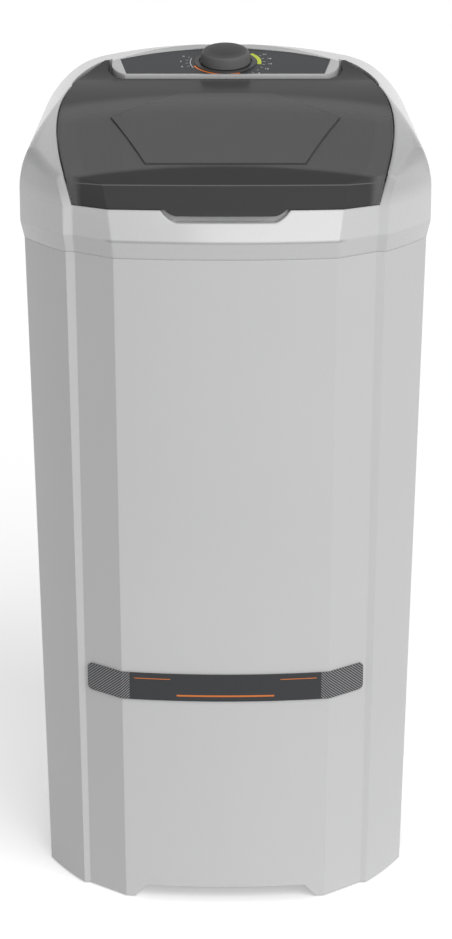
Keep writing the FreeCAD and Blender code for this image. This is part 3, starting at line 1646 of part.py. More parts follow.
def make_capacitor():
    body = new_body("capacitor", upright(size("capacitor_x"), -size("capacitor_y"), 0))
    radius, low = size("capacitor_radius"), plate_bottom - size("capacitor_length")
    edge = size("wall")
    revolve(body, [(0, low, 0), (radius - edge, low, QUARTER), (radius, low + edge, 0),
                   (radius, plate_bottom, 0), (0, plate_bottom, 0)])
    return body


def make_wiring_harness():
    start = panel_frame.multVec(Vector(0, 0, timer_top - size("timer_depth")))
    axis = panel_frame.Rotation.multVec(Vector(0, 0, -1))
    bend = size("harness_bend")
    x = size("harness_x")
    inlet = terminal_low + size("terminal_height") / 2
    points = [
        start,
        start + axis * size("harness_drop"),
        Vector(x, harness_y, start.z - size("harness_fall")),
        Vector(x, harness_y, inlet),
        Vector(x, terminal_back, inlet),
    ]
    harness = doc.addObject("Part::Feature", "wiring_harness")
    harness.Shape = swept_rod(points, size("harness_radius"), bend)
    harness.Label = "wiring_harness"
    return harness


sub_parts = [
    make_cabinet(), make_front_band(), make_foot_pads(), make_rear_cover(), make_rear_cover_screws(),
    make_cord_gland(), make_drain_spigot(), make_drain_hose(), make_hose_clips(), make_drain_elbow(),
    make_drain_strainer(), make_tub(), make_frame_screws(), make_top_frame(), make_lid(), make_hinge_pins(),
    make_control_panel(), make_dial_ring(), make_timer_knob(), make_timer_shaft(), make_timer_body(),
    make_timer_screws(), make_bearing_housing(), make_housing_screws(),
    make_bearing("upper_bearing", upper_bearing_top - size("bearing_length")),
    make_bearing("lower_bearing", housing_bottom), make_shaft_seal(), make_agitator_shaft(), make_agitator(),
    make_agitator_cap(), make_drive_pulley(), make_pulley_nut(), make_drive_belt(), make_motor_plate(),
    make_plate_bolts(), make_motor_body(), make_motor_screws(), make_motor_shaft(), make_motor_pulley(),
    make_capacitor(), make_wiring_harness(),
]
doc.recompute()

failed = [item.Label for item in doc.Objects if {"Invalid", "Error"} & set(item.State)]
failed += [item.Label for item in sub_parts if item.Shape.isNull() or not item.Shape.isValid()]
if failed:
    raise RuntimeError("these failed: " + ", ".join(failed))

os.makedirs("parts", exist_ok=True)
for item in sub_parts:
    item.Shape.exportStep("parts/" + item.Label + ".step")
    print(item.Label, len(item.Shape.Solids), "solids", round(item.Shape.Volume / 1000, 1), "cm3")
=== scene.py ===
import math

import bmesh
import bpy
from mathutils import Matrix, Vector


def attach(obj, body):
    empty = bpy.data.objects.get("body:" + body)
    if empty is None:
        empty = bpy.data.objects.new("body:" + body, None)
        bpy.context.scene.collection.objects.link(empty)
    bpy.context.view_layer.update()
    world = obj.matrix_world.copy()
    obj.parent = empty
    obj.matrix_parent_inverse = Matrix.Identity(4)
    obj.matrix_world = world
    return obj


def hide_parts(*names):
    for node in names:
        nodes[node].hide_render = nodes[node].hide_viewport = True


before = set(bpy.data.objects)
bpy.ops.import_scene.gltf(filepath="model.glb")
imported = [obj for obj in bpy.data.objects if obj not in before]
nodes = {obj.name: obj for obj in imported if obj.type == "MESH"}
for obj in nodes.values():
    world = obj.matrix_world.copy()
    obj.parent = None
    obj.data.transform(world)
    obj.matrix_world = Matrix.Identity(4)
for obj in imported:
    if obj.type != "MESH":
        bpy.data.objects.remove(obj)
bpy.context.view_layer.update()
scene = bpy.context.scene
scene.view_settings.view_transform = "Standard"
print("frame loaded:", len(nodes), "nodes")


# node helpers: values may be sockets, which are linked, or plain numbers

def addNode(tree, kind, values=None, **settings):
    node = tree.nodes.new("ShaderNode" + kind)
    for name, value in settings.items():
        setattr(node, name, value)
    for name, value in (values or {}).items():
        if isinstance(value, bpy.types.NodeSocket):
            tree.links.new(value, node.inputs[name])
        else:
            node.inputs[name].default_value = value
    return node


def maths(tree, operation, first, second=0.0, third=0.0):
    node = addNode(tree, "Math", {0: first, 1: second, 2: third}, operation=operation)
    return node.outputs[0]


def objectPoint(tree):
    return addNode(tree, "TexCoord").outputs["Object"]


def splitPoint(tree):
    parts = addNode(tree, "SeparateXYZ", {0: objectPoint(tree)})
    return parts.outputs[0], parts.outputs[1], parts.outputs[2]


def mixColour(tree, factor, first, second):
    node = addNode(tree, "Mix", {0: factor, 6: first, 7: second}, data_type="RGBA")
    return node.outputs[2]


def scaleColour(tree, colour, gain):
    return addNode(tree, "VectorMath", {0: colour, "Scale": gain}, operation="SCALE").outputs[0]


def noise(tree, scale, detail, point=None):
    values = {"Vector": point or objectPoint(tree), "Scale": scale, "Detail": detail}
    return addNode(tree, "TexNoise", values).outputs[0]


def ramp(tree, value, low, high, start=0.0, end=1.0):
    values = {0: value, 1: low, 2: high, 3: start, 4: end}
    return addNode(tree, "MapRange", values, interpolation_type="SMOOTHSTEP").outputs[0]


def between(tree, value, low, high):
    above = maths(tree, "GREATER_THAN", value, low)
    return maths(tree, "MULTIPLY", above, maths(tree, "LESS_THAN", value, high))


# noise from 0 to 1 spread evenly round a middle value

def around(tree, value, spread, middle):
    return maths(tree, "MULTIPLY_ADD", maths(tree, "SUBTRACT", value, 0.5), spread, middle)


# 1 where the mask is 0, and the end value where it is 1

def fade(tree, mask, end):
    return maths(tree, "MULTIPLY_ADD", mask, end - 1, 1)


def newGroup(name, inputs, outputs):
    group = bpy.data.node_groups.new(name, "ShaderNodeTree")
    for label, kind, value in inputs:
        socket = group.interface.new_socket(label, in_out="INPUT", socket_type=kind)
        socket.default_value = value
    for label, kind in outputs:
        group.interface.new_socket(label, in_out="OUTPUT", socket_type=kind)
    return group, group.nodes.new("NodeGroupInput").outputs, group.nodes.new("NodeGroupOutput").inputs


skinOutputs = [
    ("Colour", "NodeSocketColor"),
    ("Roughness", "NodeSocketFloat"),
    ("Normal", "NodeSocketVector"),
]

# moulded plastic: pigment fleck, slow tone drift, fine grain and softened edges

mouldedBase = {"fineDetail": 2, "driftScale": 5, "driftDetail": 3, "drift": 0.05, "roughSpread": 0.06,
               "grainDepth": 0.0002, "edgeSamples": 6}


def buildMouldedSkin(base):
    group, given, put = newGroup("mouldedSkin", [
        ("Tone", "NodeSocketColor", (0.5, 0.5, 0.5, 1)),
        ("Fleck", "NodeSocketFloat", 0.05),
        ("Grain", "NodeSocketFloat", 1400),
        ("Roughness", "NodeSocketFloat", 0.4),
        ("Relief", "NodeSocketFloat", 0.06),
        ("Edge", "NodeSocketFloat", 0.0012),
    ], skinOutputs)
    fine = noise(group, given["Grain"], base["fineDetail"])
    slow = around(group, noise(group, base["driftScale"], base["driftDetail"]), base["drift"], 1)
    gain = around(group, fine, given["Fleck"], slow)
    group.links.new(scaleColour(group, given["Tone"], gain), put["Colour"])
    group.links.new(around(group, fine, base["roughSpread"], given["Roughness"]), put["Roughness"])
    soft = addNode(group, "Bevel", {"Radius": given["Edge"]}, samples=base["edgeSamples"]).outputs[0]
    relief = {"Strength": given["Relief"], "Distance": base["grainDepth"], "Height": fine, "Normal": soft}
    group.links.new(addNode(group, "Bump", relief).outputs[0], put["Normal"])
    return group


mouldedSkin = buildMouldedSkin(mouldedBase)


def newMaterial(name):
    material = bpy.data.materials.new(name)
    material.use_nodes = True
    tree = material.node_tree
    return material, tree, tree.nodes["Principled BSDF"]


def setSurface(surface, look):
    for name, value in look.items():
        surface.inputs[name].default_value = value


# material whose colour, roughness and normal come from one of the skin groups

def skinned(name, group, look):
    material, tree, surface = newMaterial(name)
    skin = addNode(tree, "Group", look["skin"], node_tree=group)
    tree.links.new(skin.outputs["Colour"], surface.inputs["Base Color"])
    tree.links.new(skin.outputs["Roughness"], surface.inputs["Roughness"])
    tree.links.new(skin.outputs["Normal"], surface.inputs["Normal"])
    setSurface(surface, look["surface"])
    return material, tree, surface, skin


def mouldedPlastic(name, look):
    return skinned(name, mouldedSkin, look)[0]


def paint(material, *names):
    for name in names:
        for slot in nodes[name].material_slots:
            slot.material = material


shellLook = {
    "skin": {"Tone": (0.525, 0.525, 0.527, 1), "Fleck": 0.06, "Grain": 1500, "Roughness": 0.36,
             "Relief": 0.05, "Edge": 0.0016},
    "surface": {"Coat Weight": 0.2, "Coat Roughness": 0.18},
}
paint(mouldedPlastic("silverShell", shellLook), "cabinet", "rear_cover")

# hood: painted light, paler on its leaning front and skirt and darker on its arms, with a painted shadow line
# along the seam at its foot, and arms that round off away from the lid

hoodLook = {
    "skin": {"Tone": (0.455, 0.455, 0.457, 1), "Fleck": 0.05, "Grain": 1700, "Roughness": 0.27,
             "Relief": 0.03},
    "surface": {"Coat Weight": 0.6, "Coat Roughness": 0.14},
    "edge": 0.004,
    "lidSide": (0.2133, -0.062, 0.832),  # half width, where it is widest, and radius of its sweep
    "armFoot": (0.925, 0.945),
    "armInside": (-0.012, -0.004),
    "armEnd": (0.10, 0.15),
    "armEdge": (0.008, 0.028),
    "armGain": 0.7,
    "browFoot": (0.8745, 0.8775),
    "browTop": (0.905, 0.935),
    # gains of painted light on skirt, brow and arms
    "paintedLightGain": (1.12, 1.2, 0.92),  # skirt, brow and arms
    # the line along the seam is painted shadow
    "seamShadow": (0.8750, 0.0028, 0.68),  # height, half width and tone
    "seamEnd": (0.138, 0.150),
    "seamBack": (-0.15, -0.10),
}


def hoodPlastic(name, look):
    material, tree, surface, skin = skinned(name, mouldedSkin, look)
    x, y, z = splitPoint(tree)
    side = maths(tree, "ABSOLUTE", x)

    # edge radius grows with the distance from the lid's side, on the arms alone
    middleX, middleY, sweep = look["lidSide"]
    along = maths(tree, "SUBTRACT", y, middleY)
    fall = maths(tree, "DIVIDE", maths(tree, "MULTIPLY", along, along), 2 * sweep)
    away = maths(tree, "ADD", maths(tree, "SUBTRACT", side, middleX), fall)
    least, most = look["armEdge"]
    soft = maths(tree, "MAXIMUM", maths(tree, "MULTIPLY", away, look["armGain"]), least)
    soft = maths(tree, "MINIMUM", soft, most)
    onArm = maths(tree, "MULTIPLY", ramp(tree, z, *look["armFoot"]), ramp(tree, away, *look["armInside"]))
    onArm = maths(tree, "MULTIPLY", onArm, ramp(tree, y, *look["armEnd"], 1.0, 0.0))
    edge = maths(tree, "MULTIPLY_ADD", onArm, maths(tree, "SUBTRACT", soft, look["edge"]), look["edge"])
    tree.links.new(edge, skin.inputs["Edge"])

    # painted light by height, paler on skirt and brow and darker on the arms, and a painted shadow line at
    # the seam between brow and skirt
    skirt, brow, arm = look["paintedLightGain"]
    gain = ramp(tree, z, *look["browFoot"], skirt, brow)
    gain = maths(tree, "ADD", gain, ramp(tree, z, *look["browTop"], 0.0, arm - brow))
    height, half, depth = look["seamShadow"]
    offSeam = maths(tree, "ABSOLUTE", maths(tree, "SUBTRACT", z, height))
    onFront = ramp(tree, side, *look["seamEnd"], 1.0, 0.0)
    onFront = maths(tree, "MULTIPLY", onFront, ramp(tree, y, *look["seamBack"], 1.0, 0.0))
    # painted shadow line along the seam, fading away towards the sides and back
    seamShadow = maths(tree, "MULTIPLY", ramp(tree, offSeam, 0.0, half, 1.0, 0.0), onFront)
    gain = maths(tree, "MULTIPLY", gain, fade(tree, seamShadow, depth))
    tree.links.new(scaleColour(tree, skin.outputs["Colour"], gain), surface.inputs["Base Color"])
    return material


paint(hoodPlastic("silverHood", hoodLook), "top_frame")

# lid: smoky plastic, denser over the hollow lip and behind its raised middle, where painted shade also
# darkens it, with a painted highlight band just before the rear, painted shade lines along the root of its
# raised middle, and a painted highlight along the fold

lidLook = {
    "skin": {"Tone": (0.159, 0.159, 0.161, 1), "Fleck": 0.03, "Grain": 900, "Roughness": 0.2,
             "Relief": 0.001, "Edge": 0.001},
    "surface": {"IOR": 1.05},
    "alpha": (0.66, 0.88),
    "lipBack": (-0.213, -0.203),
    "lipArch": 0.8,
    "lipShadeGain": 0.4,
    "paintedSheen": (-0.06, 0.012),
    "paintedSheenGain": 1.2,
    "rear": (0.006, 0.042),
    "rearArch": 1.2,
    "rearShadeGain": 0.44,
    "fold": (0.9404, 0.0011),  # height and half width
    # colour of the painted highlight along the fold
    "foldHighlight": (0.16, 0.16, 0.161, 1),
    "raised": [((0.0, -0.2052), (0.098, -0.2052)), ((0.0982, -0.205), (0.1452, -0.072)),
               ((0.1452, -0.072), (0.0622, 0.027))],
    "rootHalf": 0.0011,
    "rootShadeGain": 0.42,
    "smudge": (9, 2, 0.05),  # scale, detail and spread of the roughness
}


# soft line of a given half width along a straight run, on both sides of the middle

def lineMask(tree, x, y, run, half):
    (startX, startY), (endX, endY) = run
    length = math.hypot(endX - startX, endY - startY)
    alongX, alongY = (endX - startX) / length, (endY - startY) / length
    gapX = maths(tree, "SUBTRACT", maths(tree, "ABSOLUTE", x), startX)
    gapY = maths(tree, "SUBTRACT", y, startY)
    along = maths(tree, "MULTIPLY_ADD", gapX, alongX, maths(tree, "MULTIPLY", gapY, alongY))
    off = maths(tree, "MULTIPLY_ADD", gapX, alongY, maths(tree, "MULTIPLY", gapY, -alongX))
    near = ramp(tree, maths(tree, "ABSOLUTE", off), 0.0, half, 1.0, 0.0)
    return maths(tree, "MULTIPLY", near, between(tree, along, 0.0, length))


# distance back along the lid, bent so that a line across it becomes an arch

def archedBack(tree, x, y, arch):
    return maths(tree, "MULTIPLY_ADD", maths(tree, "MULTIPLY", x, x), arch, y)


def smokyPlastic(name, look):
    material, tree, surface, skin = skinned(name, mouldedSkin, look)
    x, y, z = splitPoint(tree)
    # painted shade over the hollow lip and behind the raised middle
    lip = ramp(tree, archedBack(tree, x, y, look["lipArch"]), *look["lipBack"], 1.0, 0.0)
    bowed = archedBack(tree, x, y, look["rearArch"])
    rear = ramp(tree, bowed, *look["rear"])
    gain = maths(tree, "MULTIPLY", fade(tree, lip, look["lipShadeGain"]), fade(tree, rear, look["rearShadeGain"]))
    # painted highlight band just before the darker rear
    gain = maths(tree, "MULTIPLY", gain, ramp(tree, bowed, *look["paintedSheen"], 1.0, look["paintedSheenGain"]))
    # painted shade lines along the root of the raised middle
    for run in look["raised"]:
        rootShade = lineMask(tree, x, y, run, look["rootHalf"])
        gain = maths(tree, "MULTIPLY", gain, fade(tree, rootShade, look["rootShadeGain"]))
    # painted highlight along the fold
    height, half = look["fold"]
    offFold = maths(tree, "ABSOLUTE", maths(tree, "SUBTRACT", z, height))
    onFold = ramp(tree, offFold, 0.0, half, 1.0, 0.0)
    colour = mixColour(tree, onFold, scaleColour(tree, skin.outputs["Colour"], gain), look["foldHighlight"])
    tree.links.new(colour, surface.inputs["Base Color"])
    scale, detail, spread = look["smudge"]
    rough = around(tree, noise(tree, scale, detail), spread, look["skin"]["Roughness"])
    tree.links.new(rough, surface.inputs["Roughness"])
    clear, dense = look["alpha"]
    closed = maths(tree, "MAXIMUM", lip, rear)
    tree.links.new(maths(tree, "MULTIPLY_ADD", closed, dense - clear, clear), surface.inputs["Alpha"])
    return material


paint(smokyPlastic("smokyLid", lidLook), "lid")

panelLook = {
    "skin": {"Tone": (0.02, 0.021, 0.024, 1), "Fleck": 0.15, "Grain": 2200, "Roughness": 0.42,
             "Relief": 0.05, "Edge": 0.0004},
    "surface": {"IOR": 1.28},
}
paint(mouldedPlastic("darkPanel", panelLook), "control_panel")

# knob: painted shade makes its top darker than its side, measured along the timer's axis

knobLook = {
    "skin": {"Tone": (0.13, 0.13, 0.132, 1), "Fleck": 0.12, "Grain": 1600, "Roughness": 0.4,
             "Relief": 0.08, "Edge": 0.0012},
    "surface": {"IOR": 1.15},
    "axis": (0, -0.23853, 0.97113),
    "foot": 0.96225,
    "crown": (0.0150, 0.0180),
    "topShadeGain": 0.4,
}


def knobPlastic(name, look):
    material, tree, surface, skin = skinned(name, mouldedSkin, look)
    reach = addNode(tree, "VectorMath", {0: objectPoint(tree), 1: look["axis"]}, operation="DOT_PRODUCT")
    above = maths(tree, "SUBTRACT", reach.outputs["Value"], look["foot"])
    # painted shade on the top
    gain = fade(tree, ramp(tree, above, *look["crown"]), look["topShadeGain"])
    tree.links.new(scaleColour(tree, skin.outputs["Colour"], gain), surface.inputs["Base Color"])
    return material


paint(knobPlastic("knobPlastic", knobLook), "timer_knob")

ringLook = {
    "skin": {"Tone": (0.05, 0.05, 0.052, 1), "Fleck": 0.1, "Grain": 1800, "Roughness": 0.4,
             "Relief": 0.06, "Edge": 0.0004},
    "surface": {"IOR": 1.28},
}
paint(mouldedPlastic("ringPlastic", ringLook), "dial_ring")

tubLook = {
    "skin": {"Tone": (0.70, 0.71, 0.72, 1), "Fleck": 0.03, "Grain": 700, "Roughness": 0.34,
             "Relief": 0.06, "Edge": 0.0015},
    "surface": {"Coat Weight": 0.1},
}
paint(mouldedPlastic("tubPlastic", tubLook), "tub")

agitatorLook = {
    "skin": {"Tone": (0.47, 0.55, 0.64, 1), "Fleck": 0.04, "Grain": 900, "Roughness": 0.28,
             "Relief": 0.05, "Edge": 0.002},
    "surface": {"Coat Weight": 0.2, "Coat Roughness": 0.1},
}
paint(mouldedPlastic("agitatorPlastic", agitatorLook), "agitator", "agitator_cap")

fittingLook = {
    "skin": {"Tone": (0.024, 0.024, 0.025, 1), "Fleck": 0.2, "Grain": 1200, "Roughness": 0.5,
             "Relief": 0.15, "Edge": 0.0006},
    "surface": {},
}
paint(mouldedPlastic("blackFitting", fittingLook), "cord_gland", "drain_spigot", "drain_elbow",
      "drain_strainer", "timer_body", "bearing_housing")

rubberLook = {
    "skin": {"Tone": (0.02, 0.02, 0.021, 1), "Fleck": 0.35, "Grain": 600, "Roughness": 0.82,
             "Relief": 0.4, "Edge": 0.0008},
    "surface": {},
}
paint(mouldedPlastic("blackRubber", rubberLook), "foot_pads", "shaft_seal", "drive_belt")
print("plastics done")


# ribbed hose and wiring sleeve: rings along one axis of the piece, with painted shade in the grooves

def ringedSkin(name, look):
    material, tree, surface = newMaterial(name)
    along = splitPoint(tree)[look["axis"]]
    half = look["pitch"] / 2
    ridge = maths(tree, "DIVIDE", maths(tree, "PINGPONG", along, half), half)
    grime = noise(tree, *look["grime"])
    # painted shade in the grooves, mottled by noise
    colour = mixColour(tree, maths(tree, "MULTIPLY", ridge, grime), look["groove"], look["crest"])
    tree.links.new(colour, surface.inputs["Base Color"])
    bump = addNode(tree, "Bump", {"Strength": look["relief"], "Distance": look["depth"], "Height": ridge})
    tree.links.new(bump.outputs[0], surface.inputs["Normal"])
    setSurface(surface, look["surface"])
    return material


hoseLook = {"axis": 1, "pitch": 0.005, "groove": (0.03, 0.03, 0.032, 1), "crest": (0.11, 0.11, 0.115, 1),
            "grime": (300, 3), "relief": 0.6, "depth": 0.0006, "surface": {"Roughness": 0.55}}
paint(ringedSkin("hoseSkin", hoseLook), "drain_hose")
sleeveLook = {"axis": 2, "pitch": 0.003, "groove": (0.008, 0.008, 0.009, 1), "crest": (0.05, 0.05, 0.052, 1),
              "grime": (300, 3), "relief": 0.6, "depth": 0.0006, "surface": {"Roughness": 0.7}}
paint(ringedSkin("wiringSleeve", sleeveLook), "wiring_harness")

# bare and painted metals: brushed or cast grain with slow staining

metalBase = {"grainScale": 6, "stainScale": 40, "detail": 4, "stain": (0.35, 0.82), "roughSpread": 0.3,
             "grainDepth": 0.0003, "edgeSamples": 4}


def buildMetalGrain(base):
    group, given, put = newGroup("metalGrain", [
        ("Tone", "NodeSocketColor", (0.6, 0.6, 0.6, 1)),
        ("Stretch", "NodeSocketVector", (200, 200, 20)),
        ("Roughness", "NodeSocketFloat", 0.35),
        ("Relief", "NodeSocketFloat", 0.1),
        ("Edge", "NodeSocketFloat", 0.0004),
    ], skinOutputs)
    stretch = {0: objectPoint(group), 1: given["Stretch"]}
    pulled = addNode(group, "VectorMath", stretch, operation="MULTIPLY").outputs[0]
    grain = noise(group, base["grainScale"], base["detail"], pulled)
    stain = noise(group, base["stainScale"], base["detail"])
    gain = maths(group, "MULTIPLY_ADD", stain, *base["stain"])
    group.links.new(scaleColour(group, given["Tone"], gain), put["Colour"])
    group.links.new(around(group, grain, base["roughSpread"], given["Roughness"]), put["Roughness"])
    soft = addNode(group, "Bevel", {"Radius": given["Edge"]}, samples=base["edgeSamples"]).outputs[0]
    relief = {"Strength": given["Relief"], "Distance": base["grainDepth"], "Height": grain, "Normal": soft}
    group.links.new(addNode(group, "Bump", relief).outputs[0], put["Normal"])
    return group


metalGrain = buildMetalGrain(metalBase)


def grainedMetal(name, look):
    return skinned(name, metalGrain, look)[0]


steelLook = {
    "skin": {"Tone": (0.62, 0.62, 0.61, 1), "Stretch": (120, 120, 900), "Roughness": 0.32, "Relief": 0.12},
    "surface": {"Metallic": 1.0},
}
zincSteel = grainedMetal("zincSteel", steelLook)
paint(zincSteel, "lid_hinge_pins", "rear_cover_screws", "frame_screws", "timer_screws", "housing_screws",
      "plate_bolts", "motor_screws", "hose_clips", "agitator_shaft", "motor_shaft", "timer_shaft",
      "pulley_nut")
castLook = {
    "skin": {"Tone": (0.6, 0.6, 0.61, 1), "Stretch": (90, 90, 90), "Roughness": 0.45, "Relief": 0.3},
    "surface": {"Metallic": 1.0},
}
paint(grainedMetal("castAlloy", castLook), "drive_pulley", "motor_pulley", "capacitor")
bronzeLook = {
    "skin": {"Tone": (0.5, 0.33, 0.15, 1), "Stretch": (150, 150, 150), "Roughness": 0.4, "Relief": 0.2},
    "surface": {"Metallic": 1.0},
}
paint(grainedMetal("bushBronze", bronzeLook), "upper_bearing", "lower_bearing")
motorLook = {
    "skin": {"Tone": (0.06, 0.065, 0.072, 1), "Stretch": (60, 60, 60), "Roughness": 0.45, "Relief": 0.25},
    "surface": {"Metallic": 0.0},
}
paint(grainedMetal("motorPaint", motorLook), "motor_body", "motor_plate")
print("metals done")

# trim band: fine crossed hatch at its ends, with plain pinstripes low in the middle and high at both sides

bandLook = {
    "ground": (0.014, 0.015, 0.018, 1),
    "hatch": (0.34, 0.34, 0.345, 1),
    "orange": (0.62, 0.17, 0.03, 1),
    "hatchFrom": 0.122,
    "pitch": 0.0036,
    "thread": 0.66,
    "crossThread": 0.5,
    "crossGain": (0.4, 0.6),
    "lowLine": (0.2862, 0.2884),
    "lowReach": 0.062,
    "highLine": (0.3086, 0.3096),
    "highReach": (0.070, 0.116),
    "grain": (1200, 2),
    "grainTone": 0.08,
    "grainHeight": 0.2,
    "edge": 0.0008,
    "edgeSamples": 4,
    "relief": 0.2,
    "depth": 0.0002,
    "surface": {"Roughness": 0.36, "IOR": 1.42},
}


def bandTrim(name, look):
    material, tree, surface = newMaterial(name)
    x, _, z = splitPoint(tree)
    side = maths(tree, "ABSOLUTE", x)
    rising = maths(tree, "FRACT", maths(tree, "DIVIDE", maths(tree, "ADD", side, z), look["pitch"]))
    falling = maths(tree, "FRACT", maths(tree, "DIVIDE", maths(tree, "SUBTRACT", side, z), look["pitch"] / 2))
    cross = maths(tree, "MULTIPLY_ADD", maths(tree, "GREATER_THAN", falling, look["crossThread"]),
                  *look["crossGain"])
    weave = maths(tree, "MULTIPLY", maths(tree, "GREATER_THAN", rising, look["thread"]), cross)
    hatch = maths(tree, "MULTIPLY", weave, maths(tree, "GREATER_THAN", side, look["hatchFrom"]))
    low = maths(tree, "MULTIPLY", between(tree, z, *look["lowLine"]),
                maths(tree, "LESS_THAN", side, look["lowReach"]))
    high = maths(tree, "MULTIPLY", between(tree, z, *look["highLine"]),
                 between(tree, side, *look["highReach"]))
    grain = noise(tree, *look["grain"])
    ground = mixColour(tree, maths(tree, "MULTIPLY", grain, look["grainTone"]), look["ground"], look["hatch"])
    colour = mixColour(tree, hatch, ground, look["hatch"])
    colour = mixColour(tree, maths(tree, "ADD", low, high), colour, look["orange"])
    tree.links.new(colour, surface.inputs["Base Color"])
    height = maths(tree, "ADD", hatch, maths(tree, "MULTIPLY", grain, look["grainHeight"]))
    soft = addNode(tree, "Bevel", {"Radius": look["edge"]}, samples=look["edgeSamples"]).outputs[0]
    relief = {"Strength": look["relief"], "Distance": look["depth"], "Height": height, "Normal": soft}
    tree.links.new(addNode(tree, "Bump", relief).outputs[0], surface.inputs["Normal"])
    setSurface(surface, look["surface"])
    return material


paint(bandTrim("bandTrim", bandLook), "front_band")
print("trim band done")

# print on the sloped console panel, in the panel's own plane round the knob

dialPrint = {
    "knob": (0, 0.171, 1.0328571),
    "slope": 13.8,
    "lift": -0.00065,
    "thickness": 0.00018,
    "weld": 1e-6,
    "stepAngle": 3,
    "arcs": [
        ("dialArcFront", (0.75, 0.19, 0.03, 1), 0.0424, 0.0452, -162, 98),
        ("dialArcRight", (0.58, 0.68, 0.02, 1), 0.0432, 0.0486, -9, 50),
        ("dialArcLeft", (0.72, 0.72, 0.72, 1), 0.0472, 0.0480, 163, 42),
    ],
    "pale": (0.62, 0.62, 0.62, 1),
    "tickInner": 0.0505,
    "tickOuter": 0.0540,
    "tickSweep": 0.7,
    "tickAngles": [160, 172, 184, 196, -46, -34, -22, -10, 2, 14, 26],
    "numberRadius": 0.0605,
    "numberSize": 0.0062,
    "numberSteps": 3,
    "numbers": [("0", 160), ("3", 178), ("6", 196), ("9", -42), ("12", -24), ("15", -6), ("18", 12),
                ("21", 28)],
    "ink": {"Fleck": 0.18, "Grain": 2600, "Roughness": 0.42, "Relief": 0.05, "Edge": 0.0001},
    "surface": {"IOR": 1.4},
}
panelPlane = (Matrix.Translation(dialPrint["knob"])
              @ Matrix.Rotation(math.radians(dialPrint["slope"]), 4, "X"))


def finishPiece(name, bm, material, body):
    mesh = bpy.data.meshes.new(name)
    bm.to_mesh(mesh)
    bm.free()
    piece = bpy.data.objects.new(name, mesh)
    scene.collection.objects.link(piece)
    mesh.materials.append(material)
    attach(piece, body)
    return piece


def printInk(name, colour):
    skin = {"Tone": colour, **dialPrint["ink"]}
    return mouldedPlastic(name, {"skin": skin, "surface": dialPrint["surface"]})


def arcStrip(bm, inner, outer, start, sweep):
    turn = Matrix.Rotation(math.radians(start), 4, "Z")
    ends = [bm.verts.new(turn @ Vector((radius, 0, 0))) for radius in (inner, outer)]
    edge = bm.edges.new(ends)
    steps = max(2, int(abs(sweep) / dialPrint["stepAngle"]))
    bmesh.ops.spin(bm, geom=ends + [edge], cent=(0, 0, 0), axis=(0, 0, 1), angle=math.radians(sweep),
                   steps=steps)


def layOnPanel(bm):
    bmesh.ops.remove_doubles(bm, verts=bm.verts, dist=dialPrint["weld"])
    raised = bmesh.ops.extrude_face_region(bm, geom=bm.faces[:])["geom"]
    top = [item for item in raised if isinstance(item, bmesh.types.BMVert)]
    bmesh.ops.translate(bm, verts=top, vec=(0, 0, dialPrint["thickness"]))
    bmesh.ops.translate(bm, verts=bm.verts, vec=(0, 0, dialPrint["lift"]))
    bmesh.ops.transform(bm, matrix=panelPlane, verts=bm.verts)
    bmesh.ops.recalc_face_normals(bm, faces=bm.faces)


for arcName, arcColour, arcInner, arcOuter, arcStart, arcSweep in dialPrint["arcs"]:
    bm = bmesh.new()
    arcStrip(bm, arcInner, arcOuter, arcStart, arcSweep)
    layOnPanel(bm)
    finishPiece(arcName, bm, printInk(arcName + "Ink", arcColour), "machine")

paleInk = printInk("paleInk", dialPrint["pale"])
bm = bmesh.new()
for angle in dialPrint["tickAngles"]:
    arcStrip(bm, dialPrint["tickInner"], dialPrint["tickOuter"], angle, dialPrint["tickSweep"])
layOnPanel(bm)
finishPiece("dialTicks", bm, paleInk, "machine")


def textMesh(words):
    curve = bpy.data.curves.new("panelText", "FONT")
    curve.body = words
    curve.size = dialPrint["numberSize"]
    curve.align_x = "CENTER"
    curve.align_y = "CENTER"
    curve.resolution_u = dialPrint["numberSteps"]
    holder = bpy.data.objects.new("panelText", curve)
    scene.collection.objects.link(holder)
    bpy.context.view_layer.update()
    mesh = bpy.data.meshes.new_from_object(holder)
    bpy.data.objects.remove(holder)
    bpy.data.curves.remove(curve)
    return mesh


bm = bmesh.new()
for words, angle in dialPrint["numbers"]:
    before = set(bm.verts)
    mesh = textMesh(words)
    bm.from_mesh(mesh)
    bpy.data.meshes.remove(mesh)
    spot = Matrix.Rotation(math.radians(angle), 4, "Z") @ Vector((dialPrint["numberRadius"], 0, 0))
    bmesh.ops.translate(bm, verts=[vert for vert in bm.verts if vert not in before], vec=spot)
layOnPanel(bm)
finishPiece("dialNumbers", bm, paleInk, "machine")
print("panel print done")

# pan-head screws of the rear cover, with a cross recess

coverScrews = {
    "radius": 0.005,
    "height": 0.0028,
    "sides": 32,
    "crown": 0.6,  # share of the height that is rounded
    "crownSteps": 4,
    "slotLength": 0.0062,
    "slotWidth": 0.0013,
    "slotDepth": 0.0012,
    "face": 0.265,
    "spots": [(x, z) for x in (-0.108, 0.108) for z in (0.067, 0.155, 0.243)],
    "turn": (20, 25),  # degrees of the first head, and from head to head
}


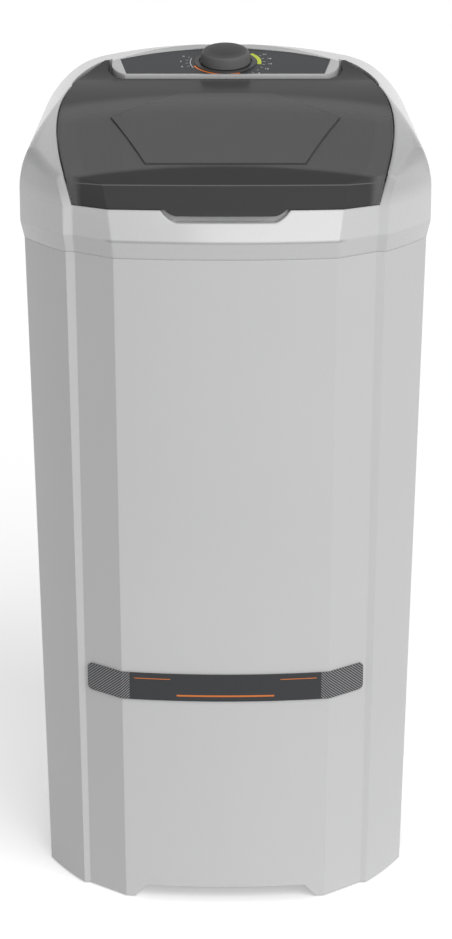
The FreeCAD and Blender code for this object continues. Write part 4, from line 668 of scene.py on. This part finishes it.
def panHead(look):
    bm = bmesh.new()
    bmesh.ops.create_circle(bm, cap_ends=True, segments=look["sides"], radius=look["radius"])
    top = bmesh.ops.extrude_face_region(bm, geom=bm.faces[:])["geom"]
    bmesh.ops.translate(bm, verts=[item for item in top if isinstance(item, bmesh.types.BMVert)],
                        vec=(0, 0, look["height"]))
    bmesh.ops.recalc_face_normals(bm, faces=bm.faces)
    crown = [edge for edge in bm.edges if all(vert.co.z > look["height"] / 2 for vert in edge.verts)]
    bmesh.ops.bevel(bm, geom=crown, offset=look["height"] * look["crown"], segments=look["crownSteps"],
                    profile=0.5, affect="EDGES", material=-1)
    mesh = bpy.data.meshes.new("panHead")
    bm.to_mesh(mesh)
    bm.free()
    return mesh


def crossCutter(look):
    bm = bmesh.new()
    for turn in (0, 90):
        size = Matrix.Diagonal((look["slotLength"], look["slotWidth"], 2 * look["slotDepth"], 1))
        place = Matrix.Translation((0, 0, look["height"])) @ Matrix.Rotation(math.radians(turn), 4, "Z")
        bmesh.ops.create_cube(bm, size=1, matrix=place @ size)
    mesh = bpy.data.meshes.new("crossCutter")
    bm.to_mesh(mesh)
    bm.free()
    return mesh


def headWithCross(look):
    head = bpy.data.objects.new("panHead", panHead(look))
    cutter = bpy.data.objects.new("crossCutter", crossCutter(look))
    for item in (head, cutter):
        scene.collection.objects.link(item)
    cut = head.modifiers.new("cross", "BOOLEAN")
    cut.object = cutter
    cut.operation = "DIFFERENCE"
    cut.use_self = True  # the two bars of the cross overlap
    bpy.context.view_layer.update()
    done = bpy.data.meshes.new_from_object(head.evaluated_get(bpy.context.evaluated_depsgraph_get()))
    for item in (head, cutter):
        bpy.data.objects.remove(item)
    return done


crossHead = headWithCross(coverScrews)
firstTurn, nextTurn = coverScrews["turn"]
bm = bmesh.new()
for index, (x, z) in enumerate(coverScrews["spots"]):
    before = set(bm.verts)
    bm.from_mesh(crossHead)
    fresh = [vert for vert in bm.verts if vert not in before]
    spun = Matrix.Rotation(math.radians(firstTurn + nextTurn * index), 4, "Z")
    place = Matrix.Translation((x, coverScrews["face"], z)) @ Matrix.Rotation(math.radians(-90), 4, "X")
    bmesh.ops.transform(bm, matrix=place @ spun, verts=fresh)
screws = finishPiece("coverScrewHeads", bm, zincSteel, "machine")
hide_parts("rear_cover_screws")
print("cover screws done")

# stage: pale floor that shows white to the camera and keeps the shadow

stageLook = {
    "half": 9.0,
    "floor": {"Base Color": (0.9, 0.9, 0.9, 1), "Roughness": 0.9, "Specular IOR Level": 0.0,
              "Emission Color": (1, 1, 1, 1)},
    "glow": 0.41,
    "ambient": 0.34,
    "sun": 2.2,
    "sunAngle": 60,
    "sunTurn": 29,
    "sunHeight": 30,
    "sunDistance": 4,
}


def seenDirectly(tree):
    path = addNode(tree, "LightPath").outputs
    seen = maths(tree, "MAXIMUM", path["Is Camera Ray"], path["Is Glossy Ray"])
    return maths(tree, "MAXIMUM", seen, path["Is Transmission Ray"])


def buildFloor(look):
    bm = bmesh.new()
    bmesh.ops.create_grid(bm, x_segments=2, y_segments=2, size=look["half"])
    mesh = bpy.data.meshes.new("studioFloor")
    bm.to_mesh(mesh)
    bm.free()
    floor = bpy.data.objects.new("studioFloor", mesh)
    scene.collection.objects.link(floor)
    material, tree, surface = newMaterial("paleFloor")
    setSurface(surface, look["floor"])
    glow = maths(tree, "MULTIPLY", seenDirectly(tree), look["glow"])
    tree.links.new(glow, surface.inputs["Emission Strength"])
    mesh.materials.append(material)


def buildWorld(look):
    world = bpy.data.worlds.new("studio")
    world.use_nodes = True
    tree = world.node_tree
    back = tree.nodes["Background"]
    back.inputs["Color"].default_value = (1, 1, 1, 1)
    gain = maths(tree, "MULTIPLY_ADD", seenDirectly(tree), 1 - look["ambient"], look["ambient"])
    tree.links.new(gain, back.inputs["Strength"])
    scene.world = world


def buildSun(look):
    lamp = bpy.data.lights.new("softSun", "SUN")
    lamp.energy = look["sun"]
    lamp.angle = math.radians(look["sunAngle"])
    turn, height = math.radians(look["sunTurn"]), math.radians(look["sunHeight"])
    level = math.cos(height)
    towards = Vector((math.sin(turn) * level, -math.cos(turn) * level, math.sin(height)))
    holder = bpy.data.objects.new("softSun", lamp)
    holder.rotation_euler = (-towards).to_track_quat("-Z", "Y").to_euler()
    holder.location = towards * look["sunDistance"]
    scene.collection.objects.link(holder)


buildFloor(stageLook)
buildWorld(stageLook)
buildSun(stageLook)

cameraLook = {"place": (0, -3.40, 1.509), "pitch": 73.62, "lens": 101.18, "sensor": 36, "shift": 0.0006}
lens = bpy.data.cameras.new("photoCamera")
lens.lens = cameraLook["lens"]
lens.sensor_width = cameraLook["sensor"]
lens.shift_x = cameraLook["shift"]
camera = bpy.data.objects.new("photoCamera", lens)
camera.location = cameraLook["place"]
camera.rotation_euler = (math.radians(cameraLook["pitch"]), 0, 0)
scene.collection.objects.link(camera)
scene.camera = camera
print("stage done")
